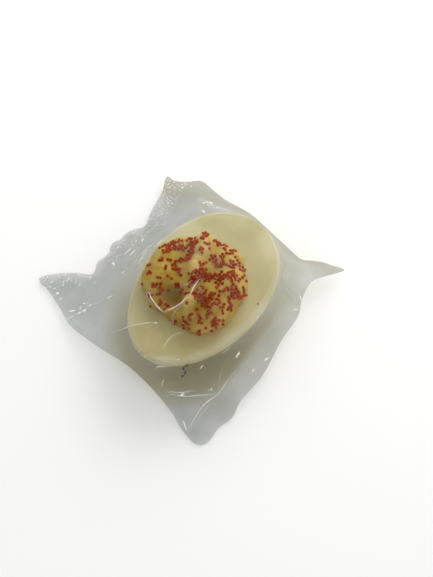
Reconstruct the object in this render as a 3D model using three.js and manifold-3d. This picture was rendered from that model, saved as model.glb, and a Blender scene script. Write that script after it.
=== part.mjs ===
// A half-egg sweet with a piped filling and sugar beads, heat-sealed in a clear film bag.
// Millimetres. +Z is up, +X runs along the egg to its blunt end, +Y to the bag's crimped end.
// The origin is on the surface that the bag lies on, under the middle of the egg.

import * as THREE from "three";
import { mergeVertices } from "three/addons/utils/BufferGeometryUtils.js";
import Module from "manifold-3d";

const wasm = await Module();
wasm.setup();

// The white: half an egg, cut side up.
const EGG_LENGTH = 59.6;
const EGG_WIDTH = 41;
const BLUNT_END = 0.1; // share by which the blunt half is wider, and the pointed half narrower
const RIM_ROUNDING = 1;
const BACK_DEPTH = 19.7; // of the round back, below the rim's rounding
const REST_TRIM = 0.5; // taken off the round back, as a small flat to rest on

// The bag's floor, thicker than the real film, and the clearance between touching pieces.
const BAG_FLOOR = 0.5;
const GAP = 0.3;
const EGG_BOTTOM = BAG_FLOOR + GAP;
const EGG_FACE = EGG_BOTTOM + BACK_DEPTH - REST_TRIM + RIM_ROUNDING;

// The filling: a piped dollop, as soft lobes round a peak. Heights are above its seat.
const FILLING_CENTRE = [-1.6, 1.2];
const FILLING_SEAT = EGG_FACE + 0.1;
const LOBE_BLEND = 1.9; // how softly the lobes run into each other
const LOBES = [
  { x: -1.6, y: 1.2, reach: 14.6, top: 8.0, drop: 5.8 }, // the body of the dollop
  { x: 10.8, y: 6.9, reach: 2.8, top: 9.8, drop: 6.0 }, // the ridge, from its free end
  { x: 6.4, y: 5.4, reach: 3.4, top: 10.8, drop: 7.0 },
  { x: 0.4, y: 2.8, reach: 4.0, top: 12.0, drop: 8.0 }, // and up to the peak
  { x: -7.0, y: 11.0, reach: 5.0, top: 9.4, drop: 6.4 }, // the lobes round the peak
  { x: -0.6, y: 13.2, reach: 4.6, top: 9.0, drop: 6.2 },
  { x: 5.0, y: 11.6, reach: 3.6, top: 8.4, drop: 6.0 },
  { x: 9.6, y: -2.4, reach: 4.8, top: 9.2, drop: 6.4 },
  { x: 3.8, y: -7.6, reach: 5.2, top: 10.2, drop: 6.8 },
  { x: -3.4, y: -6.8, reach: 4.6, top: 11.2, drop: 7.6 },
  { x: -10.2, y: -2.8, reach: 2.6, top: 11.4, drop: 8.0 },
  { x: -11.2, y: -7.8, reach: 3.8, top: 7.4, drop: 5.2 },
  { x: -5.8, y: -10.0, reach: 3.8, top: 7.4, drop: 5.4 },
  { x: -13.2, y: 5.6, reach: 3.4, top: 5.4, drop: 3.8 },
];
const DENT = { x: -10.4, y: 3.4, z: 9.2, radius: 4.4 }; // the hollow where the nozzle let go

// Sugar beads, which gather in the valleys between the lobes.
const BEAD_DIAMETER = 1;
const BEAD_COUNT = 165;
const BEAD_SUNK = 0.2; // depth of a bead's centre below the filling, as a share of its radius
const BEAD_SPACING = 1.02; // least distance between two beads, in diameters
const LOWEST_BEAD = 0.12; // sine of the angle above the seat at which the beads begin
const VALLEY_PULL = 5; // how strongly beads prefer a valley to a crest
const VALLEY_WIDTH = 2.6;
const BARE_BEARING = (150 * Math.PI) / 180; // the side of the filling with the fewest beads
const BARE_SHARE = 0.6; // the share of its beads that is missing there

// The bag: the free edge of the two films, where they meet, round the outline.
const BAG_EDGE = [
  [33.4, 42.0, 3.0],
  [33.6, 38.9, 3.0],
  [36.4, 34.7, 3.0],
  [39.2, 30.9, 4.0],
  [37.4, 24.1, 5.0],
  [37.0, 18.5, 6.0],
  [36.8, 7.5, 8.0],
  [35.4, -2.1, 8.0],
  [34.1, -12.0, 7.0],
  [33.6, -16.4, 6.5],
  [37.6, -21.9, 5.0],
  [40.6, -29.7, 3.0],
  [33.9, -26.5, 5.0],
  [28.9, -24.2, 6.0],
  [21.9, -25.3, 5.0],
  [17.3, -27.4, 4.5],
  [5.8, -28.3, 4.5],
  [-7.8, -30.4, 4.0],
  [-18.8, -29.7, 2.5],
  [-24.4, -30.6, 1.5],
  [-29.5, -29.2, 1.0],
  [-35.7, -29.1, 0.8],
  [-38.1, -27.1, 0.8],
  [-37.3, -20.6, 1.0],
  [-34.9, -14.3, 2.0],
  [-33.0, -4.6, 4.8],
  [-32.2, 5.7, 7.0],
  [-32.7, 17.3, 6.0],
  [-31.8, 31.7, 3.0],
  [-28.9, 38.9, 2.0],
  [-25.6, 47.3, 1.5],
  [-24.3, 52.3, 1.2],
  [-18.8, 47.9, 1.2],
  [-11.9, 39.2, 1.0],
  [-5.4, 40.8, 1.0],
  [1.6, 41.3, 1.0],
  [9.1, 39.4, 1.0],
  [12.3, 36.1, 1.0],
  [19.4, 38.2, 1.5],
  [27.5, 39.6, 2.5],
];
const EDGE_THICKNESS = 0.6;
const CRIMPED_SEAL = 31; // y of the inner line of the crimped end's seal
const PLAIN_SEAL = -22.6; // y of the inner line of the other end's seal
const SEAL_HEIGHT = 2.6; // of the film over the edge's own height, at those lines
const FILM_SAG = 1.7; // how hollow the film hangs between the egg's rim and its foot
const STEEPEST_FOOT = 0.15; // nearest that the foot comes to the rim, as a share of the way out
const FLAT_SHARE = 0.45; // share of the way out to the edge that lies flat on the surface

// How finely each piece is divided.
const EGG_SEGMENTS = 48;
const EGG_RINGS = 10;
const RIM_RINGS = 3;
const FILLING_SEGMENTS = 60;
const FILLING_RINGS = 17;
const BAG_SEGMENTS = 2 * BAG_EDGE.length;
const BAG_RINGS = 6;
const UNDERSIDE_RINGS = 7;

const FINISHES = {
  white: { color: 0xe6dcae, roughness: 0.5 },
  filling: { color: 0xc9a94f, roughness: 0.55 },
  film: { color: 0xd9dcda, roughness: 0.15, transparent: true, opacity: 0.45 },
};

const clamp = (value, low, high) => Math.min(high, Math.max(low, value));
const ease = (t) => clamp(t, 0, 1) ** 2 * (3 - 2 * clamp(t, 0, 1));

// The largest value up to limit for which inside holds, found by halving.
function furthest(inside, limit) {
  let low = 0;
  let high = limit;
  for (let halving = 0; halving < 28; halving++) {
    const middle = (low + high) / 2;
    if (inside(middle)) low = middle;
    else high = middle;
  }
  return low;
}

// Half the egg's width at x, for an egg grown outwards by grow.
function halfWidth(x, grow = 0) {
  const along = clamp(x / (EGG_LENGTH / 2 + grow), -1, 1);
  const across = Math.sqrt(1 - along * along) * (1 + BLUNT_END * along);
  return (EGG_WIDTH / 2 + grow) * across;
}

// The point of the egg's outline at a parameter in radians, drawn in by inset.
function eggOutline(turn, inset = 0) {
  const x = (EGG_LENGTH / 2 - inset) * Math.cos(turn);
  const y = (EGG_WIDTH / 2 - inset) * Math.sin(turn) * (1 + BLUNT_END * Math.cos(turn));
  return [x, y];
}

// Height of the egg's round back under the point x, y.
function backHeight(x, y, grow = 0) {
  const across = Math.sqrt(Math.max(0, halfWidth(x, grow) ** 2 - y * y));
  const depth = (BACK_DEPTH + grow) * (across / (EGG_WIDTH / 2 + grow));
  return Math.max(EGG_BOTTOM - grow, EGG_FACE - RIM_ROUNDING - depth);
}

// A closed skin: a lathe of rings by segments, each vertex then put where place(ring, segment)
// says. Ring 0, at the top, and the last ring, at the bottom, are single points.
function skin(rings, segments, place) {
  const profile = [];
  for (let i = 0; i < rings; i++) {
    const onAxis = i === 0 || i === rings - 1;
    profile.push(new THREE.Vector2(onAxis ? 0 : 1, i));
  }
  const geometry = new THREE.LatheGeometry(profile, segments);
  const position = geometry.getAttribute("position");
  for (let i = 0; i < position.count; i++) {
    const ring = rings - 1 - (i % rings);
    const segment = Math.floor(i / rings) % segments;
    position.setXYZ(i, ...place(ring, segment));
  }
  return geometry;
}

// A closed geometry as a solid, its doubled vertices merged.
function toSolid(geometry) {
  geometry.deleteAttribute("normal");
  geometry.deleteAttribute("uv");
  const merged = mergeVertices(geometry, 1e-4);
  const corners = merged.index.array;
  const triangles = [];
  for (let i = 0; i < corners.length; i += 3) {
    const [a, b, c] = corners.slice(i, i + 3);
    if (a !== b && b !== c && c !== a) triangles.push(a, b, c);
  }
  const mesh = new wasm.Mesh({
    numProp: 3,
    vertProperties: merged.getAttribute("position").array,
    triVerts: new Uint32Array(triangles),
  });
  return new wasm.Manifold(mesh);
}

// A solid as a named mesh with its finish.
function toMesh(name, solid, finish) {
  const { vertProperties, triVerts } = solid.getMesh();
  const geometry = new THREE.BufferGeometry();
  geometry.setAttribute("position", new THREE.BufferAttribute(vertProperties, 3));
  geometry.setIndex(Array.from(triVerts));
  geometry.computeVertexNormals();
  const mesh = new THREE.Mesh(geometry, new THREE.MeshStandardMaterial(finish));
  mesh.name = name;
  return mesh;
}

// The white: a flat cut face, a rounded rim and the round back down to its small flat.
function eggWhite() {
  const rings = 1 + 1 + RIM_RINGS + EGG_RINGS + 1;
  return skin(rings, EGG_SEGMENTS, (ring, segment) => {
    const turn = (segment / EGG_SEGMENTS) * 2 * Math.PI;
    if (ring === 0) return [0, 0, EGG_FACE];
    if (ring <= 1 + RIM_RINGS) {
      const bend = ((ring - 1) / RIM_RINGS) * (Math.PI / 2);
      const inset = RIM_ROUNDING * (1 - Math.sin(bend));
      return [...eggOutline(turn, inset), EGG_FACE - RIM_ROUNDING * (1 - Math.cos(bend))];
    }
    const down = ((ring - 1 - RIM_RINGS) / (EGG_RINGS + 1)) * (Math.PI / 2);
    const [x, y] = eggOutline(turn).map((value) => value * Math.cos(down));
    return [x, y, backHeight(x, y)];
  });
}

// Roughly the distance of a point from the filling's surface, under 0 inside it.
function fillingField(x, y, z) {
  const softness = LOBE_BLEND / 2;
  let sum = 0;
  for (const lobe of LOBES) {
    const aside = Math.hypot(x - lobe.x, y - lobe.y) / lobe.reach;
    const above = (z - (lobe.top - lobe.drop)) / lobe.drop;
    const distance = (Math.hypot(aside, above) - 1) * Math.min(lobe.reach, lobe.drop);
    sum += Math.exp(-distance / softness);
  }
  const lobes = -Math.log(sum) * softness;
  const dent = DENT.radius - Math.hypot(x - DENT.x, y - DENT.y, z - DENT.z);
  const overlap = Math.max(0, LOBE_BLEND - Math.abs(lobes - dent));
  return Math.max(lobes, dent) + (overlap * overlap) / (4 * LOBE_BLEND);
}

// The filling's surface at a bearing and an angle above the seat, with heights from the seat.
function fillingPoint(bearing, rise) {
  const direction = new THREE.Vector3(
    Math.cos(bearing) * Math.cos(rise),
    Math.sin(bearing) * Math.cos(rise),
    Math.sin(rise),
  );
  const centre = new THREE.Vector3(...FILLING_CENTRE, 0);
  const at = (distance) => centre.clone().addScaledVector(direction, distance);
  return at(furthest((distance) => fillingField(...at(distance)) < 0, EGG_WIDTH / 2));
}

function dollop() {
  const rings = FILLING_RINGS + 2;
  return skin(rings, FILLING_SEGMENTS, (ring, segment) => {
    if (ring === rings - 1) return [...FILLING_CENTRE, FILLING_SEAT];
    const bearing = (segment / FILLING_SEGMENTS) * 2 * Math.PI;
    const point = fillingPoint(bearing, (1 - ring / FILLING_RINGS) * (Math.PI / 2));
    return [point.x, point.y, point.z + FILLING_SEAT];
  });
}

// Random numbers from 0 to 1 that come out alike each time.
function seeded(seed) {
  let state = seed;
  return () => {
    state = (state * 1664525 + 1013904223) % 2 ** 32;
    return state / 2 ** 32;
  };
}

// How much the filling's surface is a valley, over 0, or a crest, under 0, at a point.
function valley(point) {
  const sides = 6;
  let around = 0;
  for (let i = 0; i < sides; i++) {
    const bearing = (i / sides) * 2 * Math.PI;
    const x = point.x + (VALLEY_WIDTH / 2) * Math.cos(bearing);
    const y = point.y + (VALLEY_WIDTH / 2) * Math.sin(bearing);
    around += fillingField(x, y, point.z);
  }
  return fillingField(...point) - around / sides;
}

// The outward unit normal of the filling at a point on its surface.
function fillingNormal({ x, y, z }) {
  const step = 0.05;
  const slope = (dx, dy, dz) => {
    return fillingField(x + dx, y + dy, z + dz) - fillingField(x - dx, y - dy, z - dz);
  };
  return new THREE.Vector3(slope(step, 0, 0), slope(0, step, 0), slope(0, 0, step)).normalize();
}

// Bead centres, spread by a seeded draw that favours the valleys and the beaded side.
function beadCentres() {
  const random = seeded(7);
  const centres = [];
  while (centres.length < BEAD_COUNT) {
    const bearing = random() * 2 * Math.PI;
    const point = fillingPoint(bearing, Math.asin(LOWEST_BEAD + (1 - LOWEST_BEAD) * random()));
    const towardsBare = ease((Math.cos(bearing - BARE_BEARING) + 0.4) / 1.2);
    const chance = 0.5 * Math.exp(VALLEY_PULL * valley(point)) * (1 - BARE_SHARE * towardsBare);
    if (random() > chance) continue;
    const depth = (BEAD_SUNK * BEAD_DIAMETER) / 2;
    const centre = point.clone().addScaledVector(fillingNormal(point), -depth);
    const apart = BEAD_DIAMETER * BEAD_SPACING;
    if (centres.every((other) => other.distanceTo(centre) > apart)) centres.push(centre);
  }
  return centres;
}

// The filling with its beads joined on, each bead turned its own way.
function beadedFilling() {
  const random = seeded(11);
  const beads = beadCentres().map((centre) => {
    const bead = new THREE.IcosahedronGeometry(BEAD_DIAMETER / 2, 0);
    bead.rotateX(random() * Math.PI).rotateY(random() * Math.PI);
    return toSolid(bead.translate(centre.x, centre.y, centre.z + FILLING_SEAT));
  });
  return wasm.Manifold.union([toSolid(dollop()), ...beads]);
}

// The points of the bag's edge that its spokes run to, in order of their bearing from the
// middle of the egg.
function spokeEnds() {
  const corners = BAG_EDGE.map((point) => new THREE.Vector3(...point));
  const curve = new THREE.CatmullRomCurve3(corners, true, "centripetal");
  const ends = curve.getPoints(BAG_SEGMENTS).slice(0, -1);
  return ends.sort((a, b) => Math.atan2(a.y, a.x) - Math.atan2(b.y, b.x));
}

// Distance from the middle of the egg to its outline, along a spoke's unit direction.
function rimRadius(direction) {
  const inside = (radius) => {
    const x = radius * direction.x;
    const y = radius * direction.y;
    return Math.abs(x) < EGG_LENGTH / 2 && Math.abs(y) < halfWidth(x);
  };
  return furthest(inside, EGG_LENGTH);
}

// Height of the lower film on a spoke, at a share of the whole way out to its end.
function lowerFilm(share, end) {
  const lift = clamp((share - FLAT_SHARE) / (1 - FLAT_SHARE), 0, 1) ** 2;
  return Math.max(0, end.z - EDGE_THICKNESS) * lift;
}

// Height of the upper film on a spoke, at a share of the way from the egg's room to its end.
function upperFilm(share, roomRadius, end) {
  const reach = Math.hypot(end.x, end.y);
  const sealLine = end.y > 0 ? CRIMPED_SEAL : PLAIN_SEAL;
  const sealShare = ((sealLine / end.y) * reach - roomRadius) / (reach - roomRadius);
  const foot = clamp(sealShare, STEEPEST_FOOT, 1);
  const footHeight = end.z + SEAL_HEIGHT * ease(4 * (1 - sealShare));
  const shoulder = EGG_FACE - RIM_ROUNDING;
  const hang = (1 - clamp(share / foot, 0, 1)) ** FILM_SAG;
  const flatten = share > foot ? ease((share - foot) / (1 - foot)) : 0;
  const height = footHeight + (shoulder - footHeight) * hang + (end.z - footHeight) * flatten;
  const wholeShare = (roomRadius + (reach - roomRadius) * share) / reach;
  return Math.max(height, lowerFilm(wholeShare, end) + EDGE_THICKNESS);
}

// The bag: what the two films hold round the egg, and the sealed ends, as one body. Its skin
// runs from the floor of the egg's room up to the rim, out to the edge and back underneath.
function bag() {
  const ends = spokeEnds();
  const directions = ends.map((end) => new THREE.Vector2(end.x, end.y).normalize());
  const rims = directions.map(rimRadius);
  const rings = EGG_RINGS + BAG_RINGS + UNDERSIDE_RINGS + 2;
  return skin(rings, BAG_SEGMENTS, (ring, segment) => {
    const end = ends[segment];
    const reach = Math.hypot(end.x, end.y);
    const roomRadius = rims[segment] + GAP;
    const at = (radius) => directions[segment].clone().multiplyScalar(radius);
    if (ring <= EGG_RINGS) {
      const across = Math.sin((ring / EGG_RINGS) * (Math.PI / 2));
      const [x, y] = at(roomRadius * across);
      return [x, y, backHeight(x, y, GAP)];
    }
    if (ring <= EGG_RINGS + BAG_RINGS) {
      const share = (ring - EGG_RINGS) / BAG_RINGS;
      const height = upperFilm(share, roomRadius, end);
      return [...at(roomRadius + (reach - roomRadius) * share), height];
    }
    const share = (rings - 1 - ring) / UNDERSIDE_RINGS;
    return [...at(reach * share), lowerFilm(share, end)];
  });
}

const root = new THREE.Group();
root.add(toMesh("egg_white", toSolid(eggWhite()), FINISHES.white));
root.add(toMesh("filling", beadedFilling(), FINISHES.filling));
root.add(toMesh("bag", toSolid(bag()), FINISHES.film));

export default root;
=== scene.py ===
"""A half-egg sweet with a piped filling and sugar beads, heat-sealed in a clear film bag.

Pieces are worked out in millimetres, +Z up, +X along the egg to its blunt end and +Y to the
bag's crimped end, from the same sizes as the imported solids. Each is turned into metres when
its mesh is finished.
"""

import logging
import math
from dataclasses import dataclass
from enum import Enum

import bmesh
import bpy
import numpy as np
from mathutils import Matrix, Vector, noise
from mathutils.bvhtree import BVHTree


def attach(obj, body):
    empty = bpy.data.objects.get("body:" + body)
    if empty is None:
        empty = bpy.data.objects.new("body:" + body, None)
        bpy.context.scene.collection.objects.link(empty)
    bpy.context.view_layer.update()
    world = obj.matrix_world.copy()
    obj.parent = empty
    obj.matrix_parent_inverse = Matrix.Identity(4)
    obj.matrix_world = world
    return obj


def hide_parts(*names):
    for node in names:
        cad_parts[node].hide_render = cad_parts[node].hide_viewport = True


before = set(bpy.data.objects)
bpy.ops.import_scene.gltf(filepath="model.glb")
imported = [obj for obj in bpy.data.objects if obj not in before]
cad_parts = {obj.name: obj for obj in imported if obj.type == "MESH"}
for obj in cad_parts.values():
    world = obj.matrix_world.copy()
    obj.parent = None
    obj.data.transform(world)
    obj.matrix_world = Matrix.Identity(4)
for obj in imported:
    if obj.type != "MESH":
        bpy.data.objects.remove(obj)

MM = 0.001
# How high over the floor a ray starts that is dropped on to a piece, in metres.
RAY_START = 0.1
log = logging.getLogger("sweet")

# A place in plan, and a soft round blotch: x, y, reach and strength.
Spot = tuple[float, float]
Blotch = tuple[float, float, float, float]


class Slot(Enum):
    """The record's material slots."""

    WHITE = "egg_white"
    FILLING = "filling"
    BEADS = "sugar_beads"
    FILM = "film"


# ---------------------------------------------------------------- small tools


def ease(share: np.ndarray) -> np.ndarray:
    """Turns a share from 0 to 1 into a smooth step."""
    held = np.clip(share, 0.0, 1.0)
    return held * held * (3.0 - 2.0 * held)


def linear(code: str) -> tuple[float, float, float, float]:
    """Turns an sRGB hex colour into the linear colour that a shader takes.

    Args:
        code: The colour, such as "e6dcae".

    Returns:
        Red, green, blue and an alpha of 1.
    """
    parts = [int(code[i : i + 2], 16) / 255 for i in (0, 2, 4)]
    curved = [p / 12.92 if p <= 0.04045 else ((p + 0.055) / 1.055) ** 2.4 for p in parts]
    return (*curved, 1.0)


def add_node(
    tree: bpy.types.NodeTree,
    kind: str,
    inputs: dict | None = None,
    stops: dict[float, str] | None = None,
    **settings: object,
) -> bpy.types.Node:
    """Adds a node with its settings and links.

    Args:
        tree: The node tree to add to.
        kind: The node's type name.
        inputs: Each input's name or number, with its value or the output that feeds it.
        stops: A colour ramp's stops: each place from 0 to 1, with its sRGB hex colour.
        **settings: The node's own properties.

    Returns:
        The new node.
    """
    made = tree.nodes.new(kind)
    for name, value in settings.items():
        setattr(made, name, value)
    for name, value in (inputs or {}).items():
        if isinstance(value, bpy.types.NodeSocket):
            tree.links.new(value, made.inputs[name])
        else:
            made.inputs[name].default_value = value
    if stops:
        elements = made.color_ramp.elements
        while len(elements) < len(stops):
            elements.new(0.5)
        for element, (place, colour) in zip(elements, sorted(stops.items())):
            element.position = place
            element.color = linear(colour)
    return made


def new_material(name: str) -> tuple[bpy.types.Material, bpy.types.NodeTree]:
    """Makes an empty node material.

    Args:
        name: The material's name.

    Returns:
        The material and its node tree.
    """
    material = bpy.data.materials.new(name)
    material.use_nodes = True
    material.node_tree.nodes.clear()
    return material, material.node_tree


def finish_piece(
    shape: bmesh.types.BMesh, name: str, material: bpy.types.Material
) -> bpy.types.Object:
    """Turns a shape in millimetres into a smooth, dressed piece in metres that rides on the part.

    Args:
        shape: The shape, which is used up.
        name: The piece's name.
        material: Its finish.

    Returns:
        The new object.
    """
    bmesh.ops.scale(shape, vec=(MM, MM, MM), verts=shape.verts)
    for face in shape.faces:
        face.smooth = True
    mesh = bpy.data.meshes.new(name)
    shape.to_mesh(mesh)
    shape.free()
    mesh.materials.append(material)
    piece = bpy.data.objects.new(name, mesh)
    bpy.context.scene.collection.objects.link(piece)
    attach(piece, "root")
    log.info("%s: %d faces", name, len(mesh.polygons))
    return piece


def places(shape: bmesh.types.BMesh) -> np.ndarray:
    """Gives the places of a shape's vertices, one row each."""
    return np.array([vertex.co[:] for vertex in shape.verts])


def put(shape: bmesh.types.BMesh, points: np.ndarray) -> None:
    """Moves a shape's vertices to new places, one row each."""
    for vertex, point in zip(shape.verts, points):
        vertex.co = point


def paint(
    shape: bmesh.types.BMesh, name: str, verts: list[bmesh.types.BMVert], shares: np.ndarray
) -> None:
    """Writes a share to each vertex, which a finish reads as an attribute.

    Args:
        shape: The vertices' shape, which has the layer already.
        name: The layer's name.
        verts: The vertices.
        shares: A share for each.
    """
    layer = shape.verts.layers.float[name]
    for vertex, share in zip(verts, shares):
        vertex[layer] = share


def open_edges(shape: bmesh.types.BMesh) -> list[bmesh.types.BMEdge]:
    """Gives the edges that have one face only."""
    return [edge for edge in shape.edges if edge.is_boundary]


def range_to(points: np.ndarray, x: float, y: float, z: float) -> np.ndarray:
    """How far each point, one row each, is from a place."""
    return np.linalg.norm(points - np.array([x, y, z]), axis=1)


def blotches(x: np.ndarray, y: np.ndarray, spots: tuple[Blotch, ...]) -> np.ndarray:
    """How strong the strongest of some soft round blotches is at each place.

    Args:
        x: Places across.
        y: Places along.
        spots: The blotches.

    Returns:
        A strength for each place.
    """
    strength = np.zeros_like(x)
    for at_x, at_y, reach, most in spots:
        away = ((x - at_x) ** 2 + (y - at_y) ** 2) / reach**2
        strength = np.maximum(strength, most * np.exp(-away))
    return strength


def ripple(points: np.ndarray, wavelength: float, seed: float) -> np.ndarray:
    """Smooth random heights at points.

    Args:
        points: One row each, in millimetres.
        wavelength: Rough distance from crest to crest.
        seed: Shifts the pattern.

    Returns:
        A height from about -1 to 1 for each point.
    """
    shift = Vector((seed * 17.3, seed * -9.1, seed * 5.7))
    return np.array([noise.noise(Vector(point) / wavelength + shift) for point in points])


# ---------------------------------------------------------------- finishes


def add_clouds(
    tree: bpy.types.NodeTree,
    place: bpy.types.NodeSocket,
    size: float,
    stops: dict[float, str],
    detail: float = 2.0,
    roughness: float = 0.5,
) -> bpy.types.NodeSocket:
    """Adds random clouds of colour.

    Args:
        tree: The finish's node tree.
        place: Its Object coordinates.
        size: The clouds' size in millimetres.
        stops: Each colour's place from 0 to 1, with the colour as sRGB hex.
        detail: How many finer layers the clouds have.
        roughness: How strong those are.

    Returns:
        Their colour.
    """
    inputs = {"Vector": place, "Scale": 1 / (size * MM), "Detail": detail, "Roughness": roughness}
    clouds = add_node(tree, "ShaderNodeTexNoise", inputs)
    return add_node(tree, "ShaderNodeValToRGB", {"Fac": clouds.outputs["Fac"]}, stops).outputs["Color"]


def add_grain(
    tree: bpy.types.NodeTree,
    place: bpy.types.NodeSocket,
    size: float,
    detail: float,
    strength: float,
    depth: float,
) -> bpy.types.NodeSocket:
    """Adds a fine random relief.

    Args:
        tree: The finish's node tree.
        place: Its Object coordinates.
        size: The grain's size in millimetres.
        detail: How many finer layers it has.
        strength: How strongly it shows.
        depth: Its depth in millimetres.

    Returns:
        The bent normal.
    """
    inputs = {"Vector": place, "Scale": 1 / (size * MM), "Detail": detail}
    grain = add_node(tree, "ShaderNodeTexNoise", inputs)
    inputs = {"Height": grain.outputs["Fac"], "Strength": strength, "Distance": depth * MM}
    return add_node(tree, "ShaderNodeBump", inputs).outputs["Normal"]


def tint_by(
    tree: bpy.types.NodeTree, attribute: str, under: bpy.types.NodeSocket, over: str
) -> bpy.types.NodeSocket:
    """Tints a colour as far as one of the mesh's attributes says.

    Args:
        tree: The finish's node tree.
        attribute: The attribute's name.
        under: The colour where it is 0.
        over: The sRGB hex colour where it is 1.

    Returns:
        The tinted colour.
    """
    share = add_node(tree, "ShaderNodeAttribute", attribute_name=attribute).outputs["Fac"]
    # A colour mix takes its share as input 0 and its colours as 6 and 7, and gives output 2.
    inputs = {0: share, 6: under, 7: linear(over)}
    return add_node(tree, "ShaderNodeMix", inputs, data_type="RGBA").outputs[2]


@dataclass(frozen=True)
class CastCandy:
    """White confectionery coating, cast in a mould: waxy, satin, faintly see-through at edges."""

    base: str = "dfd7a8"
    pale: str = "e7e0ba"
    tired: str = "d5cc9a"
    stain_and_shade: str = "c07a50"
    cloud_mm: float = 14.0
    grain_mm: float = 0.7
    roughness: float = 0.42

    def make(self) -> bpy.types.Material:
        """Makes the material.

        Returns:
            The material.
        """
        material, tree = new_material("cast_candy_white")
        place = add_node(tree, "ShaderNodeTexCoord").outputs["Object"]
        # Slow clouds, where the cooling fat set paler or deeper.
        stops = {0.36: self.tired, 0.5: self.base, 0.66: self.pale}
        clouded = add_clouds(tree, place, self.cloud_mm, stops, roughness=0.45)
        shader = add_node(
            tree,
            "ShaderNodeBsdfPrincipled",
            {
                # Red has run a little from the beads beside the filling, and one broad blotch below
                # the filling is painted shadow.
                "Base Color": tint_by(tree, "stained_and_shaded", clouded, self.stain_and_shade),
                "Roughness": self.roughness,
                "IOR": 1.46,
                "Subsurface Weight": 0.25,
                "Subsurface Radius": (0.9, 0.75, 0.45),
                "Subsurface Scale": 1.2 * MM,
                # The satin grain that the mould leaves.
                "Normal": add_grain(tree, place, self.grain_mm, 3.0, 0.12, 0.05),
            },
        )
        add_node(tree, "ShaderNodeOutputMaterial", {"Surface": shader.outputs["BSDF"]})
        return material


@dataclass(frozen=True)
class PipedCandy:
    """Yellow confectionery coating, piped warm and set: soft satin, with painted shade in its folds
    and dents and painted highlight on its nubs and crest.
    """

    base: str = "d4b351"
    pale: str = "e0c46a"
    deep: str = "bf9c3c"
    painted_fold_shade: str = "7c5d10"
    painted_highlight: str = "efd68e"
    mottle_mm: float = 4.5
    grain_mm: float = 0.45
    roughness: float = 0.42

    def make(self) -> bpy.types.Material:
        """Makes the material.

        Returns:
            The material.
        """
        material, tree = new_material("piped_candy_yellow")
        place = add_node(tree, "ShaderNodeTexCoord").outputs["Object"]
        stops = {0.34: self.deep, 0.5: self.base, 0.68: self.pale}
        mottled = add_clouds(tree, place, self.mottle_mm, stops)
        # Painted shade: darker and deeper in colour where the candy folds in on itself and in its
        # dents.
        painted_fold_shade = tint_by(tree, "painted_shade", mottled, self.painted_fold_shade)
        shader = add_node(
            tree,
            "ShaderNodeBsdfPrincipled",
            {
                # Painted highlight: paler on the round nubs and along the crest.
                "Base Color": tint_by(tree, "painted_highlight", painted_fold_shade, self.painted_highlight),
                "Roughness": self.roughness,
                "IOR": 1.46,
                "Specular IOR Level": 0.12,
                "Subsurface Weight": 0.2,
                "Subsurface Radius": (1.0, 0.6, 0.25),
                "Subsurface Scale": 1.0 * MM,
                "Normal": add_grain(tree, place, self.grain_mm, 4.0, 0.25, 0.08),
            },
        )
        add_node(tree, "ShaderNodeOutputMaterial", {"Surface": shader.outputs["BSDF"]})
        return material


@dataclass(frozen=True)
class SugarShell:
    """Red nonpareils: a sugar grain panned in coloured syrup, each a little lighter or deeper."""

    base: str = "b8400a"
    pale: str = "c65620"
    deep: str = "9e3306"
    roughness: float = 0.5

    def make(self) -> bpy.types.Material:
        """Makes the material.

        Returns:
            The material.
        """
        material, tree = new_material("panned_sugar_red")
        shade = add_node(tree, "ShaderNodeAttribute", attribute_name="shade").outputs["Fac"]
        stops = {0.0: self.deep, 0.5: self.base, 1.0: self.pale}
        colour = add_node(tree, "ShaderNodeValToRGB", {"Fac": shade}, stops).outputs["Color"]
        shader = add_node(
            tree,
            "ShaderNodeBsdfPrincipled",
            {"Base Color": colour, "Roughness": self.roughness, "Specular IOR Level": 0.06},
        )
        add_node(tree, "ShaderNodeOutputMaterial", {"Surface": shader.outputs["BSDF"]})
        return material


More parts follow.
